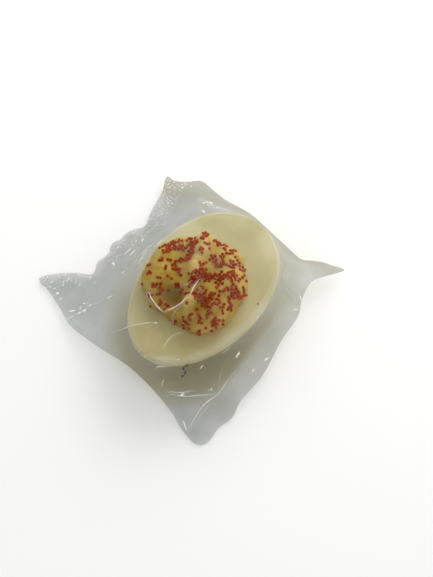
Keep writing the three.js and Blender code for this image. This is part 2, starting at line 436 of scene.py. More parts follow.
@dataclass(frozen=True)
class ClearFilm:
    """Thin cast polypropylene film: glossy, greyer towards its raised side, with painted shadow of the
    egg and painted highlights along its folds.
    """

    clean: str = "efeff0"
    cockled: str = "e6e8e7"
    shadow_and_tint_colour: str = "dedbcf"
    greyer_side: str = "dfded8"
    haze_and_sheen: str = "e8ebea"
    haze_share: float = 0.001
    sheen_gain: float = 0.75
    roughness: float = 0.1
    # The share that mirrors when seen face on, and what a steep slant takes off it.
    face_on: float = 0.017
    slanted: float = -0.012
    slant_power: float = 5.0
    ripple_mm: float = 2.6
    cockle_mm: float = 9.0

    def make(self) -> bpy.types.Material:
        """Makes the material.

        Returns:
            The material.
        """
        material, tree = new_material("cast_polypropylene_film")
        place = add_node(tree, "ShaderNodeTexCoord").outputs["Object"]
        painted_sheen = add_node(tree, "ShaderNodeAttribute", attribute_name="painted_sheen")
        normal = add_grain(tree, place, self.ripple_mm, 3.0, 0.3, 0.25)
        # Heat has cockled the film, so it lets a little more or less light through.
        stops = {0.35: self.clean, 0.65: self.cockled}
        sheet = add_clouds(tree, place, self.cockle_mm, stops, detail=4.0, roughness=0.6)
        # Painted shadow: browner and darker where the egg's shadow falls and along fine folds, and a
        # warmer tint in blotches towards the plain end.
        shadowed = tint_by(tree, "shadow_and_tint", sheet, self.shadow_and_tint_colour)
        # The film is tinted greyer towards its raised side.
        tinted = tint_by(tree, "greyer_side", shadowed, self.greyer_side)
        clear = add_node(tree, "ShaderNodeBsdfTransparent", {"Color": tinted})
        highlight_white = add_node(tree, "ShaderNodeBsdfDiffuse", {"Color": linear(self.haze_and_sheen)})
        # Painted highlight and sheen: a white share along the creases, round the rim and in soft
        # patches.
        sheen_share = add_node(
            tree,
            "ShaderNodeMath",
            {0: painted_sheen.outputs["Fac"], 1: self.sheen_gain, 2: self.haze_share},
            operation="MULTIPLY_ADD",
            use_clamp=True,
        )
        body = add_node(
            tree,
            "ShaderNodeMixShader",
            {"Fac": sheen_share.outputs["Value"], 1: clear.outputs["BSDF"], 2: highlight_white.outputs["BSDF"]},
        )
        gloss = add_node(
            tree,
            "ShaderNodeBsdfAnisotropic",
            {"Color": (1, 1, 1, 1), "Roughness": self.roughness, "Normal": normal},
            distribution="GGX",
        )
        # A sheet mirrors alike from both sides, and its fine wrinkles break that up at a slant.
        slant = add_node(tree, "ShaderNodeLayerWeight", {"Blend": 0.5, "Normal": normal})
        inputs = {0: slant.outputs["Facing"], 1: self.slant_power}
        steep = add_node(tree, "ShaderNodeMath", inputs, operation="POWER")
        mirror = add_node(
            tree,
            "ShaderNodeMath",
            {0: steep.outputs["Value"], 1: self.slanted, 2: self.face_on},
            operation="MULTIPLY_ADD",
            use_clamp=True,
        )
        film = add_node(
            tree,
            "ShaderNodeMixShader",
            {"Fac": mirror.outputs["Value"], 1: body.outputs["Shader"], 2: gloss.outputs["BSDF"]},
        )
        add_node(tree, "ShaderNodeOutputMaterial", {"Surface": film.outputs["Shader"]})
        return material


@dataclass(frozen=True)
class PaintedFilmHighlight:
    """White on the film that stands in for its highlights: painted highlight, see-through where it is
    not white.
    """

    highlight_white: str = "fffdf0"
    clear: str = "f8f8f6"
    roughness: float = 0.3

    def make(self) -> bpy.types.Material:
        """Makes the material.

        Returns:
            The material.
        """
        material, tree = new_material("painted_film_highlights")
        white = add_node(tree, "ShaderNodeAttribute", attribute_name="white")
        clear = add_node(tree, "ShaderNodeBsdfTransparent", {"Color": linear(self.clear)})
        highlight_white = add_node(
            tree,
            "ShaderNodeBsdfPrincipled",
            {"Base Color": linear(self.highlight_white), "Roughness": self.roughness, "IOR": 1.8},
        )
        welt = add_node(
            tree,
            "ShaderNodeMixShader",
            {"Fac": white.outputs["Fac"], 1: clear.outputs["BSDF"], 2: highlight_white.outputs["BSDF"]},
        )
        add_node(tree, "ShaderNodeOutputMaterial", {"Surface": welt.outputs["Shader"]})
        return material


@dataclass(frozen=True)
class PrintInk:
    """Black flexographic ink on film: thin, matt and a little starved."""

    base: str = "33332b"
    starved: str = "55554a"
    speckle_mm: float = 0.3
    roughness: float = 0.6

    def make(self) -> bpy.types.Material:
        """Makes the material.

        Returns:
            The material.
        """
        material, tree = new_material("flexographic_ink_black")
        place = add_node(tree, "ShaderNodeTexCoord").outputs["Object"]
        stops = {0.45: self.base, 0.65: self.starved}
        colour = add_clouds(tree, place, self.speckle_mm, stops)
        inputs = {"Base Color": colour, "Roughness": self.roughness}
        shader = add_node(tree, "ShaderNodeBsdfPrincipled", inputs)
        add_node(tree, "ShaderNodeOutputMaterial", {"Surface": shader.outputs["BSDF"]})
        return material


@dataclass(frozen=True)
class PaintedBoard:
    """Matt white painted board for the floor."""

    base: str = "f6f6f5"

    def make(self) -> bpy.types.Material:
        """Makes the material.

        Returns:
            The material.
        """
        material, tree = new_material("painted_board_white")
        shader = add_node(
            tree,
            "ShaderNodeBsdfPrincipled",
            {"Base Color": linear(self.base), "Roughness": 0.7, "Specular IOR Level": 0.2},
        )
        add_node(tree, "ShaderNodeOutputMaterial", {"Surface": shader.outputs["BSDF"]})
        return material


# ---------------------------------------------------------------- the egg white


@dataclass
class EggWhite:
    """The white: half an egg with a flat cut face, a rounded rim and a round back."""

    length: float = 59.6
    width: float = 41.0
    blunt_end: float = 0.1
    rim_rounding: float = 1.0
    back_depth: float = 19.7
    bottom: float = 0.8
    face: float = 21.0
    # The face cools a little hollow, and its edge isn't quite level.
    dish: float = 0.12
    unlevel: float = 0.1
    unlevel_mm: float = 11.0
    segments: int = 176
    face_rings: int = 16
    rim_rings: int = 7
    back_rings: int = 34
    # Where red has run on the face; the last, broadest and faintest blotch is painted shadow at the
    # filling's near foot.
    stains_and_shadow: tuple[Blotch, ...] = (
        (-11.2, -12.9, 1.3, 0.3),
        (-11.1, -15.2, 1.0, 0.25),
        (-12.8, -11.0, 1.2, 0.2),
        (-15.6, -7.6, 2.0, 0.1),
    )

    def half_width(self, x: np.ndarray) -> np.ndarray:
        """Half the egg's width at x."""
        along = np.clip(x / (self.length / 2), -1.0, 1.0)
        return self.width / 2 * np.sqrt(1 - along * along) * (1 + self.blunt_end * along)

    def outline(self, turn: np.ndarray, inset: np.ndarray) -> tuple[np.ndarray, np.ndarray]:
        """The egg's outline at a parameter in radians, drawn in by inset, as x and y."""
        x = (self.length / 2 - inset) * np.cos(turn)
        return x, (self.width / 2 - inset) * np.sin(turn) * (1 + self.blunt_end * np.cos(turn))

    def back_height(self, x: np.ndarray, y: np.ndarray) -> np.ndarray:
        """Works out the round back.

        Args:
            x: Places across.
            y: Places along.

        Returns:
            The back's height under each place.
        """
        across = np.sqrt(np.maximum(0.0, self.half_width(x) ** 2 - y * y))
        depth = self.back_depth * across / (self.width / 2)
        return np.maximum(self.bottom, self.face - self.rim_rounding - depth)

    def build(self, finish: CastCandy) -> bpy.types.Object:
        """Models and dresses the white.

        Args:
            finish: Its candy.

        Returns:
            The piece.
        """
        rings = self.face_rings + self.rim_rings + self.back_rings
        shape = bmesh.new()
        shape.verts.layers.float.new("stained_and_shaded")
        bmesh.ops.create_uvsphere(shape, u_segments=self.segments, v_segments=rings, radius=1.0)
        ball = places(shape)
        turn = np.arctan2(ball[:, 1], ball[:, 0])
        ring = np.round(np.arccos(np.clip(ball[:, 2], -1, 1)) / math.pi * rings)
        bend = np.clip((ring - self.face_rings) / self.rim_rings, 0, 1) * (math.pi / 2)
        past_rim = ring - self.face_rings - self.rim_rings
        down = np.clip(past_rim / self.back_rings, 0, 1) * (math.pi / 2)
        out = np.clip(ring / self.face_rings, 0, 1) * np.cos(down)
        x, y = self.outline(turn, self.rim_rounding * (1 - np.sin(bend)))
        x, y = x * out, y * out
        z = self.face - self.rim_rounding * (1 - np.cos(bend))
        z = np.where(down > 0, self.back_height(x, y), z)
        flat = np.c_[x, y, np.zeros_like(x)]
        inner = 1 - np.clip(ring / self.face_rings, 0, 1) ** 4
        z = z - self.dish * inner * (ring <= self.face_rings)
        uneven = self.unlevel * ripple(flat, self.unlevel_mm, seed=1)
        z = z + uneven * (down == 0) * ease(out * 2 - 1)
        put(shape, np.c_[x, y, z])
        # Red stains, and one blotch of painted shadow below the filling.
        paint(shape, "stained_and_shaded", shape.verts, blotches(x, y, self.stains_and_shadow))
        piece = finish_piece(shape, "egg_white_half", finish.make())
        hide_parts("egg_white")
        return piece


# ---------------------------------------------------------------- the filling


@dataclass(frozen=True)
class Lobe:
    """One soft lobe of the dollop. Heights are above the filling's seat."""

    x: float
    y: float
    reach: float
    top: float
    drop: float


@dataclass(frozen=True)
class Dent:
    """A round hollow pressed into the dollop, and how softly its edge turns over."""

    x: float
    y: float
    z: float
    radius: float
    soft: float


@dataclass(frozen=True)
class Nub:
    """A small round end of candy on the dollop: its middle, above the filling's seat."""

    x: float
    y: float
    z: float
    radius: float


@dataclass
class Filling:
    """The piped dollop: soft lobes round a peak, with the hollow that the nozzle left."""

    centre: tuple[float, float] = (-1.6, 1.2)
    seat: float = 21.1
    blend: float = 2.6
    furthest: float = 20.5
    highest: float = 14.0
    lobes: tuple[Lobe, ...] = (
        Lobe(-1.6, 1.2, 14.6, 8.0, 5.8),
        Lobe(10.3, 6.5, 2.8, 9.5, 6.0),
        Lobe(6.4, 5.4, 3.4, 10.6, 7.0),
        Lobe(0.4, 2.8, 4.0, 11.4, 8.0),
        Lobe(-7.4, 11.2, 5.2, 9.0, 6.4),
        Lobe(-0.6, 13.2, 4.6, 8.8, 6.2),
        Lobe(5.0, 11.6, 3.6, 8.2, 6.0),
        Lobe(9.6, -2.4, 4.8, 9.0, 6.4),
        Lobe(3.8, -7.6, 5.2, 9.8, 6.8),
        Lobe(-3.4, -6.8, 4.6, 10.6, 7.6),
        Lobe(-10.2, -2.8, 2.6, 10.2, 8.0),
        Lobe(-10.8, -7.6, 3.2, 7.2, 5.2),
        Lobe(-5.8, -10.0, 3.8, 7.2, 5.4),
        Lobe(-11.8, 6.4, 3.0, 5.4, 3.8),
    )
    dents: tuple[Dent, ...] = (
        # The hollow that the nozzle left, and the fold that runs down from it.
        Dent(-11.4, 3.3, 8.0, 4.2, 2.5),
        Dent(-13.4, -0.6, 8.1, 1.6, 0.9),
        Dent(-15.0, -0.6, 6.9, 1.6, 0.9),
        Dent(-16.4, -0.4, 5.2, 1.6, 0.9),
        Dent(-17.4, -0.3, 3.2, 1.5, 0.9),
        # The flat that the film pressed on its near side.
        Dent(-20.8, 4.4, 0.5, 5.4, 0.9),
    )
    nubs: tuple[Nub, ...] = (
        # The ball beside the hollow, the curl over the peak, and the tip.
        Nub(-10.2, -2.3, 9.0, 1.8),
        Nub(0.3, 3.1, 10.9, 1.1),
        Nub(-0.7, 2.3, 10.8, 1.2),
        Nub(-1.8, 1.5, 10.3, 1.0),
        Nub(10.7, 7.3, 8.4, 1.3),
    )
    # Places along the crest that take painted highlight: x, y, height and how far.
    crest: tuple[tuple[float, float, float, float], ...] = (
        (9.3, 5.7, 10.6, 1.6),
        (7.4, 4.4, 10.4, 1.7),
        (5.6, 4.2, 10.8, 1.8),
        (3.4, 4.4, 10.8, 1.6),
        (-7.3, -13.1, 5.6, 1.4),
    )
    nub_blend: float = 1.0
    # A fold takes painted shade by the room this far out: none where open, and all a ramp further
    # closed.
    reach_out: float = 2.6
    open_room: float = 0.85
    room_ramp: float = 0.7
    fold_shade: float = 0.6
    # A dent takes painted shade from just outside its radius, over a share of its soft edge.
    dent_shade: float = 0.9
    dent_start: float = 0.4
    dent_ramp: float = 0.6
    # Painted highlight: its strength at a nub, its reach, and its strength on the crest.
    nub_highlight: float = 0.75
    nub_highlight_reach: float = 0.7
    crest_highlight: float = 0.55
    # Soft swells, and the fine drag of the warm candy as it set, both gone at the seat.
    swell: float = 0.08
    swell_mm: float = 4.2
    drag: float = 0.015
    drag_mm: float = 1.5
    swell_from: float = 1.5
    divisions: int = 7
    # How often a search halves its step to the surface, and steps down on to the top.
    halvings: int = 24
    descents: int = 60
    descent_share: float = 0.6

    def field(self, points: np.ndarray) -> np.ndarray:
        """Roughly the distance of points from the dollop's surface, under 0 inside it.

        Args:
            points: One row each, with heights above the seat.

        Returns:
            A distance for each point.
        """
        softness = self.blend / 2
        total = np.zeros(len(points))
        for lobe in self.lobes:
            aside = np.hypot(points[:, 0] - lobe.x, points[:, 1] - lobe.y) / lobe.reach
            above = (points[:, 2] - (lobe.top - lobe.drop)) / lobe.drop
            distance = (np.hypot(aside, above) - 1) * min(lobe.reach, lobe.drop)
            total += np.exp(-distance / softness)
        skin = -np.log(np.maximum(total, 1e-300)) * softness
        for dent in self.dents:
            cut = dent.radius - range_to(points, dent.x, dent.y, dent.z)
            overlap = np.maximum(0.0, dent.soft - np.abs(skin - cut))
            skin = np.maximum(skin, cut) + overlap**2 / (4 * dent.soft)
        for nub in self.nubs:
            ball = range_to(points, nub.x, nub.y, nub.z) - nub.radius
            overlap = np.maximum(0.0, self.nub_blend - np.abs(skin - ball))
            skin = np.minimum(skin, ball) - overlap**2 / (4 * self.nub_blend)
        return skin

    def painted_shade_share(self, points: np.ndarray, outward: np.ndarray) -> np.ndarray:
        """How much painted shade each point takes where the surface folds in on itself or dents, from
        0 to 1.

        Args:
            points: Points on the surface, one row each.
            outward: Their unit normals.

        Returns:
            A share for each point: 0 where it bulges, up to 1 deep in a fold.
        """
        clear = self.field(points + outward * self.reach_out) / self.reach_out
        share = self.fold_shade * ease((self.open_room - clear) / self.room_ramp)
        for dent in self.dents:
            away = range_to(points, dent.x, dent.y, dent.z)
            inside = dent.radius + dent.soft * self.dent_start - away
            dented = ease(inside / (dent.soft * self.dent_ramp))
            share = np.maximum(share, self.dent_shade * dented)
        return share

    def painted_highlight_share(self, points: np.ndarray) -> np.ndarray:
        """How much painted highlight each point takes on a round nub or along the crest.

        Args:
            points: Points on the surface, one row each.

        Returns:
            A share from 0 to 1 for each point.
        """
        away = [range_to(points, nub.x, nub.y, nub.z) - nub.radius for nub in self.nubs]
        nearest = np.maximum(np.min(away, axis=0), 0.0)
        share = self.nub_highlight * np.exp(-((nearest / self.nub_highlight_reach) ** 2))
        for x, y, height, reach in self.crest:
            away = range_to(points, x, y, height) / reach
            share = np.maximum(share, self.crest_highlight * np.exp(-(away**2)))
        return share

    def surface(self, directions: np.ndarray) -> np.ndarray:
        """The dollop's surface in some directions from the middle of its seat.

        Args:
            directions: One row each, of length 1.

        Returns:
            The points, with heights above the seat.
        """
        start = np.array([*self.centre, 0.0])
        low = np.zeros(len(directions))
        high = np.full(len(directions), self.furthest)
        for _ in range(self.halvings):
            middle = (low + high) / 2
            inside = self.field(start + directions * middle[:, None]) < 0
            low = np.where(inside, middle, low)
            high = np.where(inside, high, middle)
        return start + directions * low[:, None]

    def top(self, spots: np.ndarray) -> np.ndarray:
        """The highest points of the dollop over some places.

        Args:
            spots: x and y of each place.

        Returns:
            The points, with heights above the seat, at height 0 beside the dollop.
        """
        height = np.full(len(spots), self.highest)
        for _ in range(self.descents):
            away = self.field(np.c_[spots, height])
            lowered = height - np.maximum(away, 0.0) * self.descent_share
            height = np.clip(lowered, 0.0, self.highest)
        return np.c_[spots, height]

    def normals(self, points: np.ndarray, step: float = 0.05) -> np.ndarray:
        """Works out which way the surface faces.

        Args:
            points: Points on it, one row each.
            step: How far to either side its slope is felt, in millimetres.

        Returns:
            An outward unit normal for each point.
        """
        ways = step * np.eye(3)
        slopes = [self.field(points + way) - self.field(points - way) for way in ways]
        slopes = np.stack(slopes, axis=1)
        return slopes / np.linalg.norm(slopes, axis=1, keepdims=True)

    def build(self, finish: PipedCandy) -> bpy.types.Object:
        """Models and dresses the dollop.

        Args:
            finish: Its candy.

        Returns:
            The piece.
        """
        shape = bmesh.new()
        bmesh.ops.create_icosphere(shape, subdivisions=self.divisions, radius=1.0)
        bmesh.ops.bisect_plane(
            shape,
            geom=shape.verts[:] + shape.edges[:] + shape.faces[:],
            plane_co=(0, 0, 0),
            plane_no=(0, 0, 1),
            clear_inner=True,
        )
        bmesh.ops.holes_fill(shape, edges=open_edges(shape))
        directions = places(shape)
        directions[:, 2] = np.maximum(directions[:, 2], 0.0)
        points = self.surface(directions / np.linalg.norm(directions, axis=1, keepdims=True))
        outward = self.normals(points)
        # Painted shade in the folds and dents, and painted highlight on the nubs and crest.
        shape.verts.layers.float.new("painted_shade")
        shape.verts.layers.float.new("painted_highlight")
        paint(shape, "painted_shade", shape.verts, self.painted_shade_share(points, outward))
        paint(shape, "painted_highlight", shape.verts, self.painted_highlight_share(points))
        swell = self.swell * ripple(points, self.swell_mm, seed=2)
        swell += self.drag * ripple(points, self.drag_mm, seed=3)
        swell *= ease(points[:, 2] / self.swell_from)
        points = points + outward * swell[:, None]
        points[:, 2] = np.maximum(points[:, 2], 0.0) + self.seat
        put(shape, points)
        piece = finish_piece(shape, "piped_filling", finish.make())
        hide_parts("filling")
        return piece


# ---------------------------------------------------------------- the sugar beads


@dataclass(frozen=True)
class Drift:
    """Beads that have gathered between two places, x and y, on the dollop."""

    start: tuple[float, float]
    end: tuple[float, float]
    spread: float
    count: int


@dataclass
class SugarBeads:
    """Red nonpareils, shaken on while the filling was warm, in drifts, pinches and one by one."""

    filling: Filling
    diameter: float = 1.06
    # The smallest and largest bead as shares of that, and how close and proud they settle.
    sizes: tuple[float, float] = (0.88, 1.06)
    spacing: float = 0.72
    proud: float = 0.12
    singles: int = 10
    # Single beads keep off the lowest slope: the least sine of the angle up to them.
    least_rise: float = 0.06
    pinch_spread: float = 0.34
    # How many places are tried for each bead that is wanted.
    drift_tries: int = 30
    single_tries: int = 10
    seed: int = 5
    drifts: tuple[Drift, ...] = (
        # Along the far rim.
        Drift((-0.5, 16.0), (3.7, 13.6), 0.3, 10),
        Drift((-1.6, 14.8), (0.6, 12.9), 0.3, 5),
        Drift((0.6, 13.9), (3.9, 9.8), 0.4, 17),
        Drift((5.4, 12.0), (4.4, 12.8), 0.2, 3),
        Drift((7.6, 10.6), (6.6, 11.4), 0.3, 4),
        # Round the foot of the ridge.
        Drift((6.9, 7.4), (5.6, 8.2), 0.5, 11),
        Drift((4.8, 7.4), (1.2, 6.1), 0.35, 13),
        Drift((0.8, 6.0), (-0.3, 8.2), 0.3, 8),
        Drift((-2.1, 9.0), (-3.9, 7.9), 0.35, 7),
        Drift((-3.9, 8.1), (-3.1, 6.2), 0.3, 5),
        # The right-hand slope.
        Drift((11.8, 4.5), (13.2, 0.2), 0.6, 10),
        Drift((10.1, 1.2), (11.9, -3.0), 0.75, 9),
        Drift((7.3, 1.1), (6.4, 0.0), 0.4, 4),
        Drift((7.2, -0.9), (8.4, -2.4), 0.7, 5),
        Drift((5.9, -1.1), (7.3, -4.5), 0.9, 8),
        Drift((10.2, -6.2), (9.4, -10.0), 0.5, 8),
        Drift((3.6, -7.9), (8.0, -11.8), 0.7, 11),
        Drift((2.0, -6.0), (4.5, -10.0), 0.9, 7),
        # The band across the middle, with its ends.
        Drift((-1.1, 0.6), (3.7, -7.5), 0.5, 30),
        Drift((1.6, 1.6), (1.2, 0.2), 0.35, 5),
        Drift((-2.7, 1.3), (-1.0, -0.5), 0.35, 7),
        Drift((-5.0, 0.7), (-3.0, 0.3), 0.35, 6),
        # The near slope and the thick drift in its fold.
        Drift((-7.0, -3.2), (-7.2, -7.3), 0.5, 20),
        Drift((2.2, -9.8), (2.4, -12.4), 0.45, 11),
        Drift((0.7, -11.4), (1.5, -12.8), 0.35, 6),
        Drift((4.8, -12.6), (3.6, -13.9), 0.3, 5),
        Drift((-10.6, -12.5), (-7.3, -13.9), 0.3, 9),
        Drift((-3.3, -13.2), (-2.6, -13.8), 0.4, 4),
    )
    # Pinches of a few beads: x, y and how many.
    pinches: tuple[tuple[float, float, int], ...] = (
        # On the left-hand lobe.
        (-4.4, 13.1, 2), (-2.8, 13.2, 1), (-2.6, 11.3, 2), (-7.0, 15.3, 2), (-5.3, 10.3, 2),
        (-9.6, 13.6, 3), (-9.0, 10.2, 1), (-9.0, 9.0, 1), (-7.1, 7.4, 2), (-7.3, 5.2, 1),
        (-4.0, 5.1, 1),
        # Round the hollow.
        (-11.8, 9.8, 3), (-11.0, 8.8, 3), (-11.4, 7.7, 2), (-9.9, 6.1, 1), (-7.3, 4.1, 3),
        (-8.2, 2.2, 1), (-13.0, 7.6, 2), (-13.9, 5.4, 3), (-13.6, 3.7, 2), (-14.2, 8.8, 2),
        (-14.2, 10.2, 2), (-14.4, 3.3, 1), (-11.5, 0.0, 1), (-8.1, -0.5, 2), (-11.3, -3.3, 1),
        # On the ridge and the tip.
        (11.1, 7.1, 6), (9.4, 6.6, 3), (8.7, 4.1, 3), (7.8, 3.2, 1), (5.4, 4.4, 4), (3.4, 1.2, 2),
        # On the right-hand slope.
        (9.0, -1.5, 2), (7.1, -3.8, 1), (5.7, -2.9, 1), (-0.9, -2.8, 4), (9.1, -4.7, 2),
        (10.6, -5.1, 2), (7.3, -6.4, 3), (5.4, -7.8, 4), (0.5, -6.8, 3), (-1.3, -5.5, 1),
        (-1.5, -7.2, 2), (-1.3, -9.0, 3), (0.3, -9.7, 6), (-1.6, -10.6, 1), (-0.2, -12.4, 1),
        # On the near slope.
        (-3.6, -3.3, 2), (-4.9, -2.6, 1), (-5.1, -4.9, 2), (-4.0, -7.1, 3), (-5.4, -7.5, 3),
        (-4.5, -9.4, 3), (-5.2, -10.4, 4), (-4.6, -11.9, 2), (-7.2, -8.8, 3), (-1.8, -12.5, 4),
        (-10.7, -6.4, 1), (-9.2, -9.6, 4), (-11.6, -8.3, 3), (-12.5, -9.0, 3), (-13.0, -5.4, 3),
        (-14.7, -4.0, 3), (-13.7, -6.0, 1), (-16.0, -1.8, 3), (-15.6, -5.0, 2), (-15.9, -7.0, 1),
        (-14.9, -9.6, 3), (-8.9, -12.4, 3), (-5.7, -12.3, 2), (-12.5, -11.5, 1), (-10.4, -11.4, 1),
    )
    # Crumbs of broken beads on the egg's face: x, y and radius.
    crumbs: tuple[tuple[float, float, float], ...] = (
        (5.6, -18.1, 0.3),
        (15.8, -5.3, 0.16),
        (16.4, -5.1, 0.12),
    )

    def settle(self, known: list[np.ndarray], points: np.ndarray, count: int) -> None:
        """Sets beads down one after another, each clear of those before it.

        Args:
            known: The centres so far, which the new ones are added to.
            points: Where to try, on the dollop's surface, one row each.
            count: How many to add.
        """
        tries = points + self.filling.normals(points) * self.proud
        wanted = len(known) + count
        for centre in tries[tries[:, 2] > self.diameter / 2]:
            if len(known) == wanted:
                return
            apart = np.linalg.norm(np.array(known) - centre, axis=1) if known else [self.diameter]
            if np.min(apart) >= self.diameter * self.spacing:
                known.append(centre)

    def scatter(self) -> np.ndarray:
        """Shakes the beads on.

        Returns:
            Every bead's centre, one row each, with heights above the seat.
        """
        random = np.random.default_rng(self.seed)
        pinches = [Drift((x, y), (x, y), self.pinch_spread, count) for x, y, count in self.pinches]
        centres = []
        for drift in (*self.drifts, *pinches):
            start, end = np.array(drift.start), np.array(drift.end)
            along = random.random((drift.count * self.drift_tries, 1))
            spots = start + (end - start) * along + random.normal(0.0, drift.spread, (len(along), 2))
            self.settle(centres, self.filling.top(spots), drift.count)
        bearing = random.random(self.singles * self.single_tries) * 2 * math.pi
        rise = np.arcsin(self.least_rise + (1 - self.least_rise) * random.random(len(bearing)))
        flat = np.cos(rise)
        anywhere = np.c_[np.cos(bearing) * flat, np.sin(bearing) * flat, np.sin(rise)]
        self.settle(centres, self.filling.surface(anywhere), self.singles)
        return np.array(centres)

    def build(self, finish: SugarShell) -> bpy.types.Object:
        """Models and dresses the beads as one piece.

        Args:
            finish: Their sugar.

        Returns:
            The piece.
        """
        random = np.random.default_rng(self.seed + 1)
        shape = bmesh.new()
        shape.verts.layers.float.new("shade")
        for x, y, z in self.scatter():
            size = self.diameter / 2 * random.uniform(*self.sizes)
            turn = Matrix.Rotation(random.random() * math.pi, 4, Vector(random.normal(size=3)))
            seat = Matrix.Translation((x, y, z + self.filling.seat))
            bead = bmesh.ops.create_icosphere(shape, subdivisions=2, radius=size, matrix=seat @ turn)
            paint(shape, "shade", bead["verts"], [random.random()] * len(bead["verts"]))
        for x, y, radius in self.crumbs:
            seat = Matrix.Translation((x, y, self.filling.seat))
            bmesh.ops.create_icosphere(shape, subdivisions=1, radius=radius, matrix=seat)
        piece = finish_piece(shape, "sugar_bead_scatter", finish.make())
        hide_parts("filling")
        return piece


# ---------------------------------------------------------------- the film bag


@dataclass(frozen=True)
class Crease:
    """A fold in the upper film: its run in plan, its height, width, whiteness and white line."""

    run: tuple[tuple[float, float], ...]
    rise: float = 0.4
    width: float = 1.0
    white: float = 0.3
    line: float = 0.28
    fade: float = 1.5


# Folds over the filling and the near half of the egg's face.
FACE_CREASES = (
    Crease(
        ((-15.5, 9.6), (-14.6, 10.6), (-14.1, 9.6), (-15.0, 8.7), (-15.7, 6.6), (-16.3, 4.5),
         (-16.5, 2.5)),
        rise=0.6,
        white=0.9,
    ),
    Crease(((-16.5, 2.5), (-14.7, 0.4), (-12.4, -1.5), (-9.3, -2.8)), rise=0.5, white=0.6, line=0.2),
    Crease(((-9.3, -2.8), (-6.9, -1.8), (-3.1, -1.5)), rise=0.6, white=0.9),
    Crease(((-16.4, 1.8), (-14.4, -0.2), (-12.2, -1.9)), rise=0.2, white=0.35, line=0.15),
    Crease(((-12.0, -2.3), (-14.1, -1.1), (-16.1, -1.0), (-17.7, -2.6)), rise=0.5, white=0.2),
    Crease(
        ((-28.3, 15.9), (-25.7, 10.2), (-24.3, 8.5), (-21.4, 5.3), (-20.0, 2.5)),
        white=0.4,
        line=0.2,
    ),
    Crease(((-20.4, 3.1), (-19.8, 2.0)), rise=0.5, width=0.5, white=1.0, line=0.45, fade=0.3),
    Crease(((-20.0, 2.5), (-29.0, -0.1)), rise=0.5, white=0.09, line=0.6),
    Crease(((-20.0, 2.5), (-28.6, -3.3)), rise=-0.4, white=0.0),
    Crease(((-20.0, 2.5), (-26.7, -4.9)), rise=0.5, white=0.09, line=0.6),
    Crease(((-24.1, -3.8), (-21.8, -3.7), (-19.9, -4.2), (-17.9, -6.0)), white=0.4, line=0.2),
    Crease(((-19.0, -6.1), (-22.5, -9.2)), rise=0.3, white=0.05),
    Crease(((-24.9, -9.3), (-24.3, -10.0)), rise=0.3, width=0.5, white=0.8, line=0.3, fade=0.3),
    Crease(((-28.1, -5.9), (-25.4, -9.7)), rise=0.15, white=0.3, line=0.2),
)

# Folds between the near side of the egg and the plain seal, with the seal's own inner line.
NEAR_CREASES = (
    Crease(((-30.1, -4.8), (-29.9, -4.5), (-29.1, -5.5), (-28.1, -7.4)), white=0.8, fade=0.5),
    Crease(((-31.6, -7.8), (-30.1, -7.8)), white=0.5, fade=0.5),
    Crease(((-31.8, -10.0), (-29.9, -13.9), (-27.7, -16.3), (-26.3, -17.9)), rise=0.5, white=0.6),
    Crease(
        ((-32.0, -10.8), (-30.2, -14.8), (-28.7, -17.0), (-24.6, -21.3), (-22.5, -22.3)),
        rise=0.5,
        white=0.6,
    ),
    Crease(((-24.0, -20.1), (-22.3, -21.4)), white=0.4, fade=0.5),
    Crease(
        ((-37.0, -21.9), (-32.4, -21.5), (-27.6, -21.5), (-21.1, -23.3), (-16.2, -22.9),
         (-12.6, -23.2)),
        white=0.55,
        line=0.22,
    ),
    Crease(((-12.6, -23.2), (2.0, -23.6), (12.0, -23.2), (21.8, -19.8)), white=0.12),
    Crease(((-32.4, -22.5), (-25.2, -23.1)), rise=0.2, white=0.4, line=0.2),
    Crease(((-21.1, -23.3), (-19.2, -21.2), (-15.4, -20.2)), white=0.15),
    Crease(((-10.6, -21.2), (-9.9, -21.7), (-9.2, -21.3)), white=0.6, fade=0.5),
    Crease(((-2.8, -28.4), (-1.9, -28.0), (-1.5, -28.9)), white=0.6, fade=0.5),
    Crease(((-9.0, -27.2), (-8.4, -26.8), (-7.6, -27.3)), white=0.5, fade=0.5),
    Crease(((16.8, -26.4), (17.6, -26.8)), white=0.5, fade=0.5),
    Crease(((16.6, -22.6), (19.6, -26.1)), white=0.2),
)

# Folds round the far side of the egg and along the crimped end.
FAR_CREASES = (
    Crease(((28.8, 22.1), (30.4, 21.4), (30.3, 18.9)), rise=0.5, white=0.95, line=0.4, fade=0.5),
    Crease(((31.5, 26.5), (30.8, 22.6)), rise=0.4, white=0.3, line=0.7),
    Crease(((28.9, 15.3), (28.4, 8.7)), rise=0.4, white=0.45, line=0.8),
    Crease(((24.2, 18.5), (23.6, 18.1)), white=0.7, fade=0.3),
    Crease(((-3.6, 26.4), (4.3, 23.4)), white=0.35, line=0.2),
    Crease(((-3.5, 24.0), (1.2, 22.6)), white=0.3, line=0.2),
    Crease(((6.3, 22.5), (14.7, 20.7)), white=0.1),
    Crease(((-30.8, 34.2), (-26.6, 31.3), (-23.0, 29.0), (-18.6, 25.0)), white=0.3, line=0.2),
    Crease(((36.6, 30.4), (30.5, 28.8), (20.9, 24.7)), rise=0.6, width=1.5, white=0.09, line=0.8),
    Crease(((21.5, -15.4), (29.6, -18.5), (39.0, -28.5)), rise=0.8, width=2.0, white=0.12),
)


